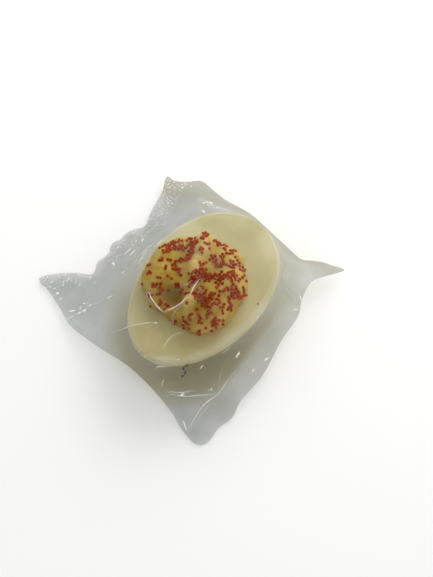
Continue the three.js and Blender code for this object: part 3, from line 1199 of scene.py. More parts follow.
@dataclass
class FilmBag:
    """The bag: two films that meet in a crimped end, a plain end and two folded sides."""

    egg: EggWhite
    # The edge, clockwise from the crimped end's east corner: x, y and height.
    edge: tuple[tuple[float, float, float], ...] = (
        (33.4, 42.0, 3.0),
        (33.6, 38.9, 3.0),
        (36.2, 34.6, 3.0),
        (38.9, 30.7, 4.0),
        (38.0, 24.6, 5.0),
        (37.0, 18.5, 6.0),
        (36.8, 7.5, 8.0),
        (35.4, -2.1, 8.0),
        (34.1, -12.0, 7.0),
        (33.7, -16.6, 6.5),
        (35.7, -20.0, 6.2),
        (37.4, -22.8, 5.8),
        (38.9, -25.8, 4.8),
        (40.9, -30.0, 3.0),
        (33.9, -26.5, 5.0),
        (28.9, -24.2, 6.0),
        (21.9, -25.3, 5.0),
        (17.3, -27.4, 4.5),
        (5.8, -28.3, 4.5),
        (-7.8, -30.4, 4.0),
        (-18.8, -29.7, 2.5),
        (-24.4, -30.6, 1.5),
        (-29.5, -29.2, 1.0),
        (-35.7, -29.1, 0.8),
        (-38.1, -27.1, 0.8),
        (-37.3, -20.6, 1.0),
        (-34.9, -14.3, 2.0),
        (-33.0, -4.6, 4.8),
        (-32.2, 5.7, 7.0),
        (-32.7, 17.3, 6.0),
        (-31.8, 31.7, 3.0),
        (-28.9, 38.9, 2.0),
        (-26.0, 47.7, 1.5),
        (-25.6, 51.0, 1.3),
        (-24.3, 52.3, 1.2),
        (-18.9, 48.0, 1.2),
        (-15.2, 43.5, 1.1),
        (-12.1, 38.9, 1.0),
        (-10.4, 39.1, 1.0),
        (-8.1, 40.4, 1.0),
        (-6.4, 40.4, 1.0),
        (-4.4, 39.8, 1.0),
        (-2.2, 39.7, 1.0),
        (-0.1, 40.8, 1.0),
        (2.1, 40.9, 1.0),
        (4.0, 39.9, 1.0),
        (6.2, 39.8, 1.0),
        (8.0, 39.6, 1.0),
        (9.8, 38.7, 1.0),
        (11.4, 36.9, 1.0),
        (13.2, 36.0, 1.0),
        (19.4, 38.2, 1.5),
        (27.5, 39.6, 2.5),
    )
    # Which of its points are corners, and how many steps it is rounded off in between two points.
    corners: tuple[int, int, int, int] = (0, 13, 23, 34)
    edge_steps: int = 24
    seam_thickness: float = 0.12
    crimped_seal: float = 31.0
    plain_seal: float = -22.6
    seal_height: float = 2.6
    # The share of the way across from either side over which a seal's corner lies flat.
    flat_corner: float = 0.12
    crimped_reach: float = 9.0
    plain_reach: float = 7.0
    length: float = 80.0
    # The lower film lies flat at this height, up to this share of the way out.
    floor: float = 0.04
    flat_share: float = 0.45
    clearance: float = 0.25
    upper_cells: int = 288
    lower_cells: int = 96
    lower_inset: float = 0.988
    # The film is drawn tight on every 16th cell first, then on ever finer ones.
    coarse_to_fine: tuple[int, ...] = (16, 8, 4, 2, 1)
    pulls: int = 600
    # How softly a crease turns over along its top.
    crease_top: float = 0.3
    # The crimped end's teeth, and how far in from either side of the seal they come up.
    crimp_pitch: float = 1.25
    crimp_depth: float = 0.04
    crimp_start: float = 0.8
    crimp_end: float = 1.2
    # Pleats run down and out from the egg's rim to the floor.
    pleat_depth: float = 0.3
    pleat_grow: float = 2.2
    pleat_pitch: float = 5.5
    pleat_start: float = 3.0
    pleat_reach: float = 15.0
    pleat_twist: float = 60.0
    # A band of painted sheen where the film bends over the rim, mostly on the side of this bearing.
    rim_white: float = 0.19
    rim_band: float = 1.3
    rim_bearing: float = 235.0
    rim_lean: float = 0.45
    rim_even: float = 0.7
    rim_uneven: float = 0.5
    rim_uneven_mm: float = 7.0
    # Painted shadow of the egg reaches this far from it, mostly on the side of this bearing, up to the
    # seal.
    shadow_reach: float = 10.5
    shadow_full: float = 1.15
    shadow_over_egg: float = 0.95
    shadow_bearing: float = 210.0
    shadow_middle: float = 6.0
    # Blotches of warmer, darker tint towards the plain end.
    warm_blotches: tuple[Blotch, ...] = (
        (2.0, -25.0, 13.0, 0.2),
        (17.0, -24.0, 9.0, 0.18),
        (-24.0, -26.0, 7.0, 0.15),
    )
    # Soft patches of painted sheen and highlight over the candy and beside the egg.
    sheen_patches: tuple[Blotch, ...] = (
        (8.0, 4.6, 2.6, 0.03),
        (4.0, 3.6, 2.4, 0.04),
        (13.0, 23.6, 2.6, 0.14),
        (8.0, 23.6, 2.4, 0.14),
        (2.6, 22.8, 2.2, 0.12),
        (-3.6, 21.4, 2.4, 0.1),
        (30.6, 23.6, 1.3, 0.3),
        (29.8, 19.6, 1.4, 0.4),
        (29.6, 16.2, 1.5, 0.45),
        (29.0, 12.8, 1.4, 0.4),
        (15.7, -14.4, 8.0, 0.05),
        (-19.4, 9.8, 4.5, 0.07),
        (3.0, -2.0, 3.2, 0.04),
    )
    # The share of the way across where the film starts to be tinted greyer towards the raised side,
    # and its ramp.
    grey_from: float = 0.87
    grey_ramp: float = 0.08
    # How much of a crease's painted highlight spreads beside its welt.
    spread_white: float = 0.3
    creases: tuple[Crease, ...] = FACE_CREASES + NEAR_CREASES + FAR_CREASES
    # Fine folds with painted shade along them instead of highlight: here "white" is how dark they are.
    shaded_creases: tuple[Crease, ...] = (
        Crease(((-7.8, 30.8), (-6.3, 29.9), (-7.6, 27.6)), rise=0.2, white=0.9, line=0.3, fade=0.6),
        Crease(((-3.0, 30.3), (-2.8, 28.9), (-5.0, 27.7)), rise=0.2, white=0.9, line=0.3, fade=0.6),
        Crease(((-2.8, 28.9), (-2.4, 26.0), (-2.0, 23.5)), rise=0.2, white=0.7, line=0.3, fade=0.6),
        Crease(((24.5, -15.8), (20.0, -17.4), (16.1, -19.4)), rise=0.25, white=1.0, line=0.35),
        Crease(((16.9, -19.2), (19.1, -23.9)), rise=0.25, white=1.0, line=0.4, fade=0.6),
        Crease(((18.7, -18.0), (20.3, -22.6)), rise=0.2, white=0.8, line=0.35, fade=0.6),
    )

    def sides(self, cells: int) -> dict[str, np.ndarray]:
        """The four sides of the edge, each as evenly spaced points.

        Args:
            cells: Steps along each side.

        Returns:
            East and west run from the plain end to the crimped end, north and south from
            west to east, one row for each point.
        """
        points = np.array(self.edge)
        count = len(points)
        before, after, beyond = (np.roll(points, shift, axis=0) for shift in (1, -1, -2))
        gaps = ((before, points), (points, after), (after, beyond))
        steps = [np.sqrt(np.linalg.norm(b - a, axis=1)) for a, b in gaps]
        t = np.linspace(0, 1, self.edge_steps + 1)[:, None]
        runs = []
        for i in range(count):
            d0, d1, d2 = (step[i] for step in steps)
            p0, p1, p2, p3 = before[i], points[i], after[i], beyond[i]
            out = ((p1 - p0) / d0 - (p2 - p0) / (d0 + d1) + (p2 - p1) / d1) * d1
            into = ((p2 - p1) / d1 - (p3 - p1) / (d1 + d2) + (p3 - p2) / d2) * d1
            cubic = (2 * t**3 - 3 * t**2 + 1) * p1 + (t**3 - 2 * t**2 + t) * out
            runs.append(cubic + (3 * t**2 - 2 * t**3) * p2 + (t**3 - t**2) * into)
        sides = []
        for first, last in zip(self.corners, self.corners[1:] + self.corners[:1]):
            stretch = [i % count for i in range(first, last if last > first else last + count)]
            line = np.concatenate([runs[i][:-1] for i in stretch] + [runs[stretch[-1]][-1:]])
            lengths = np.linalg.norm(np.diff(line, axis=0), axis=1)
            along = np.concatenate([[0.0], np.cumsum(lengths)])
            even = np.linspace(0, along[-1], cells + 1)
            sides.append(np.stack([np.interp(even, along, line[:, k]) for k in range(3)], axis=1))
        east, south, west, north = sides
        return {"east": east[::-1], "south": south[::-1], "west": west, "north": north}

    def plan(self, across: np.ndarray, along: np.ndarray, sides: dict[str, np.ndarray]) -> np.ndarray:
        """Where film at a share across (west to east) and along (plain to crimped end) lies.

        Args:
            across: Shares from 0 to 1.
            along: Shares from 0 to 1.
            sides: The edge's four sides.

        Returns:
            x, y and the edge's height carried inwards, one row each.
        """
        shares = np.linspace(0, 1, len(sides["east"]))

        def side(name: str, share: np.ndarray) -> np.ndarray:
            """Points of a side at some shares of its length."""
            return np.stack([np.interp(share, shares, sides[name][:, k]) for k in range(3)], axis=1)

        u, v = across[:, None], along[:, None]
        corner = {
            "sw": sides["south"][0],
            "se": sides["south"][-1],
            "nw": sides["north"][0],
            "ne": sides["north"][-1],
        }
        straight = (1 - v) * side("south", across) + v * side("north", across)
        turned = (1 - u) * side("west", along) + u * side("east", along)
        flat = (1 - u) * (1 - v) * corner["sw"] + u * (1 - v) * corner["se"]
        flat = flat + (1 - u) * v * corner["nw"] + u * v * corner["ne"]
        return straight + turned - flat

    def carried(self, x: np.ndarray, y: np.ndarray, contents: list[bpy.types.Object]) -> np.ndarray:
        """The height that what is in the bag reaches under each point of the film.

        Args:
            x: Places across.
            y: Places along.
            contents: The pieces in the bag.

        Returns:
            A height for each place, or 0 where there is nothing.
        """
        top = np.zeros_like(x)
        for piece in contents:
            tree = BVHTree.FromObject(piece, bpy.context.evaluated_depsgraph_get())
            corners = np.array([vertex.co[:2] for vertex in piece.data.vertices]) / MM
            low, high = corners.min(axis=0), corners.max(axis=0)
            near = (x > low[0]) & (x < high[0]) & (y > low[1]) & (y < high[1])
            for i in np.flatnonzero(near):
                above = Vector((x[i] * MM, y[i] * MM, RAY_START))
                hit = tree.ray_cast(above, Vector((0, 0, -1)))[0]
                if hit is not None:
                    top[i] = max(top[i], hit.z / MM + self.clearance)
        return top

    def draw_tight(self, carried: np.ndarray, held: np.ndarray, heights: np.ndarray) -> np.ndarray:
        """Pulls the film tight over what it carries, from coarse to fine.

        Args:
            carried: The least height at each grid point.
            held: True where the film's height is fixed.
            heights: The fixed heights.

        Returns:
            The film's height at each grid point.
        """
        film = None
        for step in self.coarse_to_fine:
            least, fixed, given = (a[::step, ::step] for a in (carried, held, heights))
            if film is None:
                film = np.maximum(least, given)
            else:
                old, new = np.linspace(0, 1, len(film)), np.linspace(0, 1, len(least))
                film = np.stack([np.interp(new, old, row) for row in film])
                film = np.stack([np.interp(new, old, column) for column in film.T], axis=1)
            for _ in range(self.pulls):
                film = np.where(fixed, given, film)
                mean = (film[:-2, 1:-1] + film[2:, 1:-1] + film[1:-1, :-2] + film[1:-1, 2:]) / 4
                film[1:-1, 1:-1] = np.maximum(mean, least[1:-1, 1:-1])
            film = np.where(fixed, given, film)
        return film

    def crease_height(
        self, crease: Crease, x: np.ndarray, y: np.ndarray
    ) -> tuple[np.ndarray, np.ndarray]:
        """How far a crease lifts the film at each place, and the share of painted highlight, or of
        painted shade for a shaded crease, along its line.

        Args:
            crease: The crease.
            x: Places across.
            y: Places along.

        Returns:
            Heights, and shares from 0 to 1.
        """
        run = np.array(crease.run)
        lengths = np.linalg.norm(np.diff(run, axis=0), axis=1)
        total = lengths.sum()
        nearest = np.full(x.shape, 1e9)
        place = np.zeros(x.shape)
        start = 0.0
        for a, b, length in zip(run[:-1], run[1:], lengths):
            way = (b - a) / length
            along = np.clip((x - a[0]) * way[0] + (y - a[1]) * way[1], 0.0, length)
            away = np.hypot(x - a[0] - along * way[0], y - a[1] - along * way[1])
            closer = away < nearest
            nearest = np.where(closer, away, nearest)
            place = np.where(closer, (start + along) / total, place)
            start += length
        ends = ease(np.minimum(place, 1 - place) * total / crease.fade)
        rounded = np.sqrt(nearest**2 + self.crease_top**2) - self.crease_top
        profile = np.exp(-rounded / crease.width)
        white = np.exp(-((nearest / crease.line) ** 2)) * crease.white
        return crease.rise * profile * ends, white * ends

    def beyond_egg(self, x: np.ndarray, y: np.ndarray) -> np.ndarray:
        """Roughly how far outside the egg's outline each place is, under 0 inside it.

        Args:
            x: Places across.
            y: Places along.

        Returns:
            A distance for each place.
        """
        half_length, half_width = self.egg.length / 2, self.egg.width / 2
        wide = half_width * (1 + self.egg.blunt_end * np.clip(x / half_length, -1.0, 1.0))
        rounds = np.hypot(x / half_length, y / wide)
        return (rounds - 1) * np.hypot(x, y) / np.maximum(rounds, 1e-6)

    def bend_at_rim(self, x: np.ndarray, y: np.ndarray) -> tuple[np.ndarray, np.ndarray]:
        """How the film pleats round the egg, and the painted sheen where it bends over the rim.

        Args:
            x: Places across.
            y: Places along.

        Returns:
            Heights, and shares from 0 to 1.
        """
        beyond = self.beyond_egg(x, y)
        bearing = np.arctan2(y / self.egg.width, x / self.egg.length)
        turn = self.egg.length / 2 / self.pleat_pitch
        rounds = np.c_[np.cos(bearing), np.sin(bearing), beyond / self.pleat_twist] * turn
        swell = ease(beyond / self.pleat_start)
        swell = swell * ease((self.pleat_reach - beyond) / self.pleat_reach)
        pleats = self.pleat_depth * self.pleat_grow * ripple(rounds, 1.0, seed=4) * swell
        band = np.exp(-(((beyond + self.rim_band / 2) / self.rim_band) ** 2))
        flat = np.c_[x, y, np.zeros_like(x)]
        uneven = self.rim_even + self.rim_uneven * ripple(flat, self.rim_uneven_mm, seed=6)
        side = 1 + self.rim_lean * np.cos(bearing - math.radians(self.rim_bearing))
        return pleats, self.rim_white * band * uneven * side

    def shadow_and_tint_share(self, x: np.ndarray, y: np.ndarray) -> np.ndarray:
        """How much painted shadow of the egg, and warmer tint towards the plain end, the film takes at
        each place.

        Args:
            x: Places across.
            y: Places along.

        Returns:
            A share from 0 to 1 for each place.
        """
        beyond = self.beyond_egg(x, y)
        near = ease(self.shadow_full - np.maximum(beyond, 0.0) / self.shadow_reach)
        over_egg = 1 - (1 - self.shadow_over_egg) * (1 - ease(beyond + 1.0))
        turn = math.radians(self.shadow_bearing)
        out = np.maximum(np.hypot(x, y), self.shadow_middle)
        side = (x * math.cos(turn) + y * math.sin(turn)) / out
        egg_shadow = near * over_egg * (0.5 + 0.5 * side) * ease(y - self.plain_seal + 0.5)
        return np.maximum(egg_shadow, blotches(x, y, self.warm_blotches))

    def greying(self, across: np.ndarray) -> np.ndarray:
        """How much greyer the film is tinted at a share of the way across, from 0 to 1."""
        return ease((across - self.grey_from) / self.grey_ramp)

    def lower_height(self, share: np.ndarray, edge_height: np.ndarray) -> np.ndarray:
        """Height of the lower film at a share of the way out, with its edge's height."""
        lift = np.clip((share - self.flat_share) / (1 - self.flat_share), 0, 1) ** 2
        return self.floor + np.maximum(0.0, edge_height - self.seam_thickness) * lift

    def build(self, finish: ClearFilm, contents: list[bpy.types.Object]) -> bpy.types.Object:
        """Models and dresses the bag.

        Args:
            finish: Its film.
            contents: The pieces that it holds.

        Returns:
            The piece.
        """
        sides = self.sides(self.upper_cells)
        shape = bmesh.new()
        for name in ("painted_sheen", "shadow_and_tint", "greyer_side"):
            shape.verts.layers.float.new(name)
        cells = self.upper_cells
        bmesh.ops.create_grid(shape, x_segments=cells, y_segments=cells, size=1.0)
        grid = places(shape)
        across, along = (grid[:, 0] + 1) / 2, (grid[:, 1] + 1) / 2
        x, y, rim = self.plan(across, along, sides).T
        order = np.lexsort((np.round(grid[:, 0], 5), np.round(grid[:, 1], 5)))
        size = self.upper_cells + 1

        def as_grid(values: np.ndarray) -> np.ndarray:
            """Values of the vertices as rows and columns."""
            return values[order].reshape(size, size)

        from_seal = np.maximum(y - self.crimped_seal, self.plain_seal - y)
        seal_reach = np.where(y > 0, self.crimped_reach, self.plain_reach)
        sealed = from_seal > 0
        from_side = np.minimum(across, 1 - across)
        rise = ease(1 - from_seal / seal_reach) * ease(from_side / self.flat_corner)
        seal = rim + self.seal_height * rise
        border = (across < 1e-6) | (across > 1 - 1e-6) | (along < 1e-6) | (along > 1 - 1e-6)
        heights = np.where(border, rim, np.where(sealed, seal, 0.0))
        carried = self.carried(x, y, contents)
        tight = self.draw_tight(as_grid(carried), as_grid(border | sealed), as_grid(heights))
        z = np.empty(len(grid))
        z[order] = tight.ravel()

        lift, white = self.bend_at_rim(x, y)
        z += lift * ease((z - rim) / self.pleat_start)
        # Each crease lifts the film and lays painted highlight along it.
        for crease in self.creases:
            lift, sheen_share = self.crease_height(crease, x, y)
            z += lift
            white = np.maximum(white, sheen_share * self.spread_white)
        # Painted shadow of the egg and warmer tint, then painted shade along the shaded creases.
        shadow_and_tint_shares = self.shadow_and_tint_share(x, y)
        for crease in self.shaded_creases:
            lift, crease_shade = self.crease_height(crease, x, y)
            z += lift
            shadow_and_tint_shares = np.maximum(shadow_and_tint_shares, crease_shade)
        # Crimped end: rows of small teeth, every other row half a step along.
        from_end = (1 - along) * self.length
        crimped = ease(from_end / self.crimp_start)
        crimped = crimped * ease((self.crimped_reach - from_end) / self.crimp_end)
        turn = 2 * math.pi / self.crimp_pitch
        z += self.crimp_depth * np.sin(turn * x) * np.sin(turn * from_end) * crimped
        put(shape, np.c_[x, y, np.where(border, rim, np.maximum(z, carried))])
        paint(shape, "painted_sheen", shape.verts, np.maximum(white, blotches(x, y, self.sheen_patches)))
        paint(shape, "shadow_and_tint", shape.verts, shadow_and_tint_shares)
        paint(shape, "greyer_side", shape.verts, self.greying(across))

        upper_rim = open_edges(shape)
        cells = self.lower_cells
        lower = bmesh.ops.create_grid(shape, x_segments=cells, y_segments=cells, size=1.0)["verts"]
        under = np.array([vertex.co[:2] for vertex in lower])
        across, along = ((under * self.lower_inset + 1) / 2).T
        x, y, rim = self.plan(across, along, sides).T
        depth = self.lower_height(np.max(np.abs(under), axis=1), rim)
        for vertex, point in zip(lower, np.c_[x, y, depth]):
            vertex.co = point
        paint(shape, "shadow_and_tint", lower, self.shadow_and_tint_share(x, y))
        paint(shape, "greyer_side", lower, self.greying(across))
        lower_faces = list({face for vertex in lower for face in vertex.link_faces})
        bmesh.ops.reverse_faces(shape, faces=lower_faces)
        lower_set = set(lower)
        lower_rim = [edge for edge in open_edges(shape) if edge.verts[0] in lower_set]
        bmesh.ops.bridge_loops(shape, edges=upper_rim + lower_rim)
        bmesh.ops.recalc_face_normals(shape, faces=shape.faces)
        piece = finish_piece(shape, "film_bag", finish.make())
        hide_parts("bag")
        return piece


# ---------------------------------------------------------------- marks on the film


@dataclass(frozen=True)
class TeethPatch:
    """Where the crimped end's teeth stand out, and how big they are there."""

    first: float
    last: float
    nearest: float
    furthest: float
    length: float
    share: float


@dataclass
class FilmMarks:
    """Marks on the upper film: welts and crimped teeth that carry painted highlights and glints, and
    ink.
    """

    bag: FilmBag
    film: bpy.types.Object
    seed: int = 11
    # Welts: how far apart their rings are, their section and how uneven they are.
    step: float = 0.45
    sides: int = 6
    corner_cuts: int = 3
    thinnest: float = 0.03
    flatness: float = 0.7
    even: float = 0.8
    uneven: float = 0.55
    uneven_mm: float = 2.4
    # A crease that is white enough has a welt of painted highlight, the wider and brighter the whiter
    # it is.
    least_white: float = 0.1
    welt_half: float = 0.05
    welt_widening: float = 0.08
    welt_highlight: float = 0.2
    welt_highlight_gain: float = 1.2
    most_highlight: float = 1.2
    stroke_grow: float = 1.5
    # Teeth, white as painted glints, with the ranges that each one's length, size and whiteness are
    # drawn from.
    tooth_pitch: float = 1.25
    row_share: float = 0.8
    tooth_width: float = 0.5
    tooth_height: float = 0.12
    tooth_lengths: tuple[float, float] = (0.5, 1.25)
    tooth_sizes: tuple[float, float] = (0.7, 1.1)
    tooth_whites: tuple[float, float] = (0.35, 0.95)
    tooth_turn: float = 0.25
    tooth_aside: float = 0.12
    tooth_inward: float = 0.1
    # Patches by share of the crimped end from west to east, and by distance from it.
    patches: tuple[TeethPatch, ...] = (
        TeethPatch(0.7, 0.99, 0.9, 9.0, 1.15, 0.85),
        TeethPatch(0.0, 0.16, 0.9, 7.0, 1.1, 0.6),
        TeethPatch(0.42, 0.6, 1.2, 8.6, 1.7, 0.4),
        TeethPatch(0.6, 0.72, 1.2, 8.0, 1.2, 0.25),
        TeethPatch(0.16, 0.42, 1.2, 8.0, 0.9, 0.08),
    )
    # Short bright strokes that are painted glints: from x, y to x, y, with half the width.
    strokes: tuple[tuple[float, float, float, float, float], ...] = (
        # In the middle of the crimped end.
        (-0.7, 33.8, 2.8, 33.6, 0.16), (-0.3, 31.8, 2.7, 31.6, 0.16), (6.5, 32.0, 8.4, 32.3, 0.22),
        (-3.9, 26.3, -0.4, 24.4, 0.14), (-0.4, 24.4, 4.5, 23.6, 0.1), (-3.7, 23.9, -1.4, 22.0, 0.2),
        (1.6, 20.5, 6.1, 20.9, 0.13), (0.1, 38.4, 1.7, 38.3, 0.18), (-4.9, 35.6, -6.0, 33.8, 0.22),
        (-8.3, 27.9, -7.3, 27.3, 0.18), (-1.2, 23.0, 0.2, 22.1, 0.14), (-0.9, 29.3, 0.9, 27.7, 0.13),
        # Along the crimped end's inner line.
        (-18.9, 25.4, -17.3, 23.9, 0.26), (-28.2, 35.6, -26.7, 33.5, 0.3),
        (-27.5, 31.8, -26.2, 31.1, 0.2), (-26.0, 30.3, -25.0, 29.9, 0.2),
        (-23.6, 30.2, -22.4, 29.4, 0.2), (-23.4, 32.8, -23.3, 31.8, 0.24),
        (-25.7, 32.6, -24.7, 32.5, 0.2), (-30.9, 34.1, -28.2, 32.5, 0.09),
        (-28.2, 32.5, -25.0, 30.1, 0.06), (-25.7, 43.6, -24.7, 43.0, 0.26),
        (-26.4, 41.2, -25.8, 40.7, 0.28), (-24.7, 45.6, -24.1, 45.3, 0.2),
        (-14.1, 38.6, -13.6, 38.2, 0.2), (-14.9, 35.4, -14.6, 35.0, 0.16),
        # Round the far side of the egg.
        (32.6, 34.8, 33.0, 34.0, 0.3), (34.6, 32.3, 34.9, 31.5, 0.26), (28.3, 22.0, 29.4, 21.6, 0.45),
        (29.2, 22.0, 30.4, 20.8, 0.3), (30.4, 20.8, 30.9, 19.2, 0.3), (23.9, 18.2, 23.3, 16.9, 0.32),
        # Between the egg and the plain end.
        (-10.2, -21.4, -8.1, -21.4, 0.26), (-21.6, -15.8, -20.2, -15.9, 0.12),
        (-13.7, -18.4, -10.7, -19.3, 0.08), (-22.8, -21.0, -21.9, -20.8, 0.14),
        (-1.9, -28.4, -3.4, -28.0, 0.2), (-7.8, -27.1, -9.2, -27.3, 0.14),
        (17.6, -26.7, 16.7, -25.2, 0.14), (22.0, -24.2, 20.9, -25.6, 0.2),
        (-34.8, -18.8, -36.6, -21.6, 0.14), (-30.3, -14.3, -29.2, -15.3, 0.26),
    )
    # Four plain dashes of ink: x, y and bearing in degrees.
    dashes: tuple[tuple[float, float, float], ...] = (
        (-23.9, -12.4, 10.0),
        (-25.0, -12.0, 35.0),
        (-25.4, -12.8, 35.0),
        (-26.4, -12.6, 10.0),
    )
    dash: tuple[float, float, float] = (1.3, 0.6, 0.05)

    def __post_init__(self) -> None:
        """Gets the film ready for laying marks on it."""
        self.tree = BVHTree.FromObject(self.film, bpy.context.evaluated_depsgraph_get())
        self.random = np.random.default_rng(self.seed)

    def frame_at(self, x: float, y: float, way: Vector, size: Vector) -> Matrix | None:
        """A place on top of the film, as a matrix that lays a unit shape there.

        Args:
            x: Place across.
            y: Place along.
            way: Which way the shape's own X runs, in plan.
            size: How much to stretch the shape along, across and up.

        Returns:
            The matrix in millimetres, or None beside the film.
        """
        above = Vector((x * MM, y * MM, RAY_START))
        hit, up = self.tree.ray_cast(above, Vector((0, 0, -1)))[:2]
        if hit is None:
            return None
        along = (way - up * way.dot(up)).normalized()
        axes = Matrix((along, up.cross(along), up)).transposed().to_4x4()
        return Matrix.Translation(hit / MM) @ axes @ Matrix.Diagonal((*size, 1.0))

    def even_run(self, run: tuple[Spot, ...]) -> np.ndarray:
        """Smooths the corners of a run and spaces points evenly along it.

        Args:
            run: The points that it follows, in plan.

        Returns:
            The points, one row each.
        """
        line = np.array(run)
        for _ in range(self.corner_cuts):
            cut = np.stack([line[:-1] * 0.75 + line[1:] * 0.25, line[:-1] * 0.25 + line[1:] * 0.75], 1)
            line = np.concatenate([line[:1], cut.reshape(-1, 2), line[-1:]])
        along = np.concatenate([[0.0], np.cumsum(np.linalg.norm(np.diff(line, axis=0), axis=1))])
        even = np.linspace(0.0, along[-1], max(4, round(along[-1] / self.step)))
        return np.stack([np.interp(even, along, line[:, k]) for k in range(2)], axis=1)

    def add_welt(
        self, shape: bmesh.types.BMesh, run: tuple[Spot, ...], half: float, white: float
    ) -> None:
        """Lays a welt on the film, thinning to its ends.

        Args:
            shape: The shape to add to, with a "white" layer.
            run: The points that it follows, in plan.
            half: Half its width.
            white: How bright its painted highlight is, from 0 to 1.
        """
        spots = self.even_run(run)
        layer = np.c_[spots, np.full(len(spots), 3.0)]
        uneven = self.even + self.uneven * ripple(layer, self.uneven_mm, seed=7)
        ends = np.sin(np.linspace(0.0, math.pi, len(spots))) ** 0.5
        upright = Matrix.Rotation(math.pi / 2, 4, "Y")
        edges, last = [], None
        for i, (x, y) in enumerate(spots):
            step = spots[min(i + 1, len(spots) - 1)] - spots[max(i - 1, 0)]
            radius = max(self.thinnest, half * uneven[i] * ends[i])
            size = Vector((1.0, radius, radius * self.flatness))
            place = self.frame_at(x, y, Vector((*step, 0.0)), size)
            if place is None:
                continue
            if last is None:
                circle = dict(segments=self.sides, radius=1.0, matrix=upright)
                ring = bmesh.ops.create_circle(shape, **circle)["verts"]
                bmesh.ops.transform(shape, matrix=place, verts=ring)
                edges = list({edge for vertex in ring for edge in vertex.link_edges})
            else:
                made = bmesh.ops.extrude_edge_only(shape, edges=edges)["geom"]
                ring = [part for part in made if isinstance(part, bmesh.types.BMVert)]
                drawn = [part for part in made if isinstance(part, bmesh.types.BMEdge)]
                edges = [edge for edge in drawn if set(ring).issuperset(edge.verts)]
                bmesh.ops.transform(shape, matrix=place @ last.inverted(), verts=ring)
            last = place
            # A wider stretch has a brighter painted highlight.
            highlight_white = min(1.0, white * (0.6 + 0.5 * uneven[i]))
            paint(shape, "white", ring, [highlight_white] * len(ring))

    def add_teeth(self, shape: bmesh.types.BMesh, patch: TeethPatch) -> None:
        """Lays a patch of teeth on the crimped end.

        Args:
            shape: The shape to add to, with a "white" layer.
            patch: The patch.
        """
        sides = self.bag.sides(self.bag.upper_cells)
        width = np.linalg.norm(sides["north"][-1] - sides["north"][0])
        columns = np.arange(patch.first, patch.last, self.tooth_pitch / width)
        rows = np.arange(patch.nearest, patch.furthest, self.tooth_pitch * self.row_share)
        for number, from_end in enumerate(rows):
            across = columns + (number % 2) * self.tooth_pitch / width / 2
            aside = self.random.normal(0.0, self.tooth_aside, len(across))
            across = across + aside * self.tooth_pitch / width
            shown = self.random.random(len(across)) < patch.share
            inward = self.random.normal(0.0, self.tooth_inward, len(across))
            along = 1 - (from_end + inward) / self.bag.length
            for x, y, _ in self.bag.plan(across, along, sides)[shown]:
                length = patch.length * self.random.uniform(*self.tooth_lengths)
                turn = self.random.normal(0.0, self.tooth_turn)
                size = Vector((length / 2, self.tooth_width / 2, self.tooth_height))
                way = Vector((math.cos(turn), math.sin(turn), 0.0))
                place = self.frame_at(x, y, way, size * self.random.uniform(*self.tooth_sizes))
                if place is None:
                    continue
                tooth = bmesh.ops.create_icosphere(shape, subdivisions=1, radius=1.0, matrix=place)
                white = self.random.uniform(*self.tooth_whites)
                paint(shape, "white", tooth["verts"], [white] * len(tooth["verts"]))

    def build(self, finish: PaintedFilmHighlight) -> bpy.types.Object:
        """Models and dresses the welts and teeth that carry painted highlights.

        Args:
            finish: The painted highlight's finish.

        Returns:
            The piece.
        """
        shape = bmesh.new()
        shape.verts.layers.float.new("white")
        # Welts, strokes and teeth are white as painted highlights and glints.
        for crease in self.bag.creases:
            if crease.white >= self.least_white:
                half = self.welt_half + self.welt_widening * crease.white
                highlight_white = min(self.most_highlight, self.welt_highlight + self.welt_highlight_gain * crease.white)
                self.add_welt(shape, crease.run, half, highlight_white)
        for x, y, end_x, end_y, half in self.strokes:
            self.add_welt(shape, ((x, y), (end_x, end_y)), half * self.stroke_grow, self.most_highlight)
        for patch in self.patches:
            self.add_teeth(shape, patch)
        bmesh.ops.holes_fill(shape, edges=open_edges(shape))
        bmesh.ops.recalc_face_normals(shape, faces=shape.faces)
        piece = finish_piece(shape, "film_highlight_welts", finish.make())
        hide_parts("bag")
        return piece

    def build_dashes(self, finish: PrintInk) -> bpy.types.Object:
        """Models and dresses a few plain dashes of ink where goods carry a date.

        Args:
            finish: The ink.

        Returns:
            The piece.
        """
        shape = bmesh.new()
        for x, y, bearing in self.dashes:
            turn = math.radians(bearing)
            way = Vector((math.cos(turn), math.sin(turn), 0.0))
            place = self.frame_at(x, y, way, Vector(self.dash))
            if place is not None:
                bmesh.ops.create_cube(shape, size=1.0, matrix=place)
        bevelled = dict(offset=0.12, offset_type="OFFSET", segments=2, profile=0.5, affect="EDGES")
        upright = [edge for edge in shape.edges if edge.calc_length() <= self.dash[2] * 1.5]
        bmesh.ops.bevel(shape, geom=upright, material=-1, clamp_overlap=True, **bevelled)
        bmesh.ops.recalc_face_normals(shape, faces=shape.faces)
        piece = finish_piece(shape, "ink_dashes", finish.make())
        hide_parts("bag")
        return piece


# ---------------------------------------------------------------- the studio


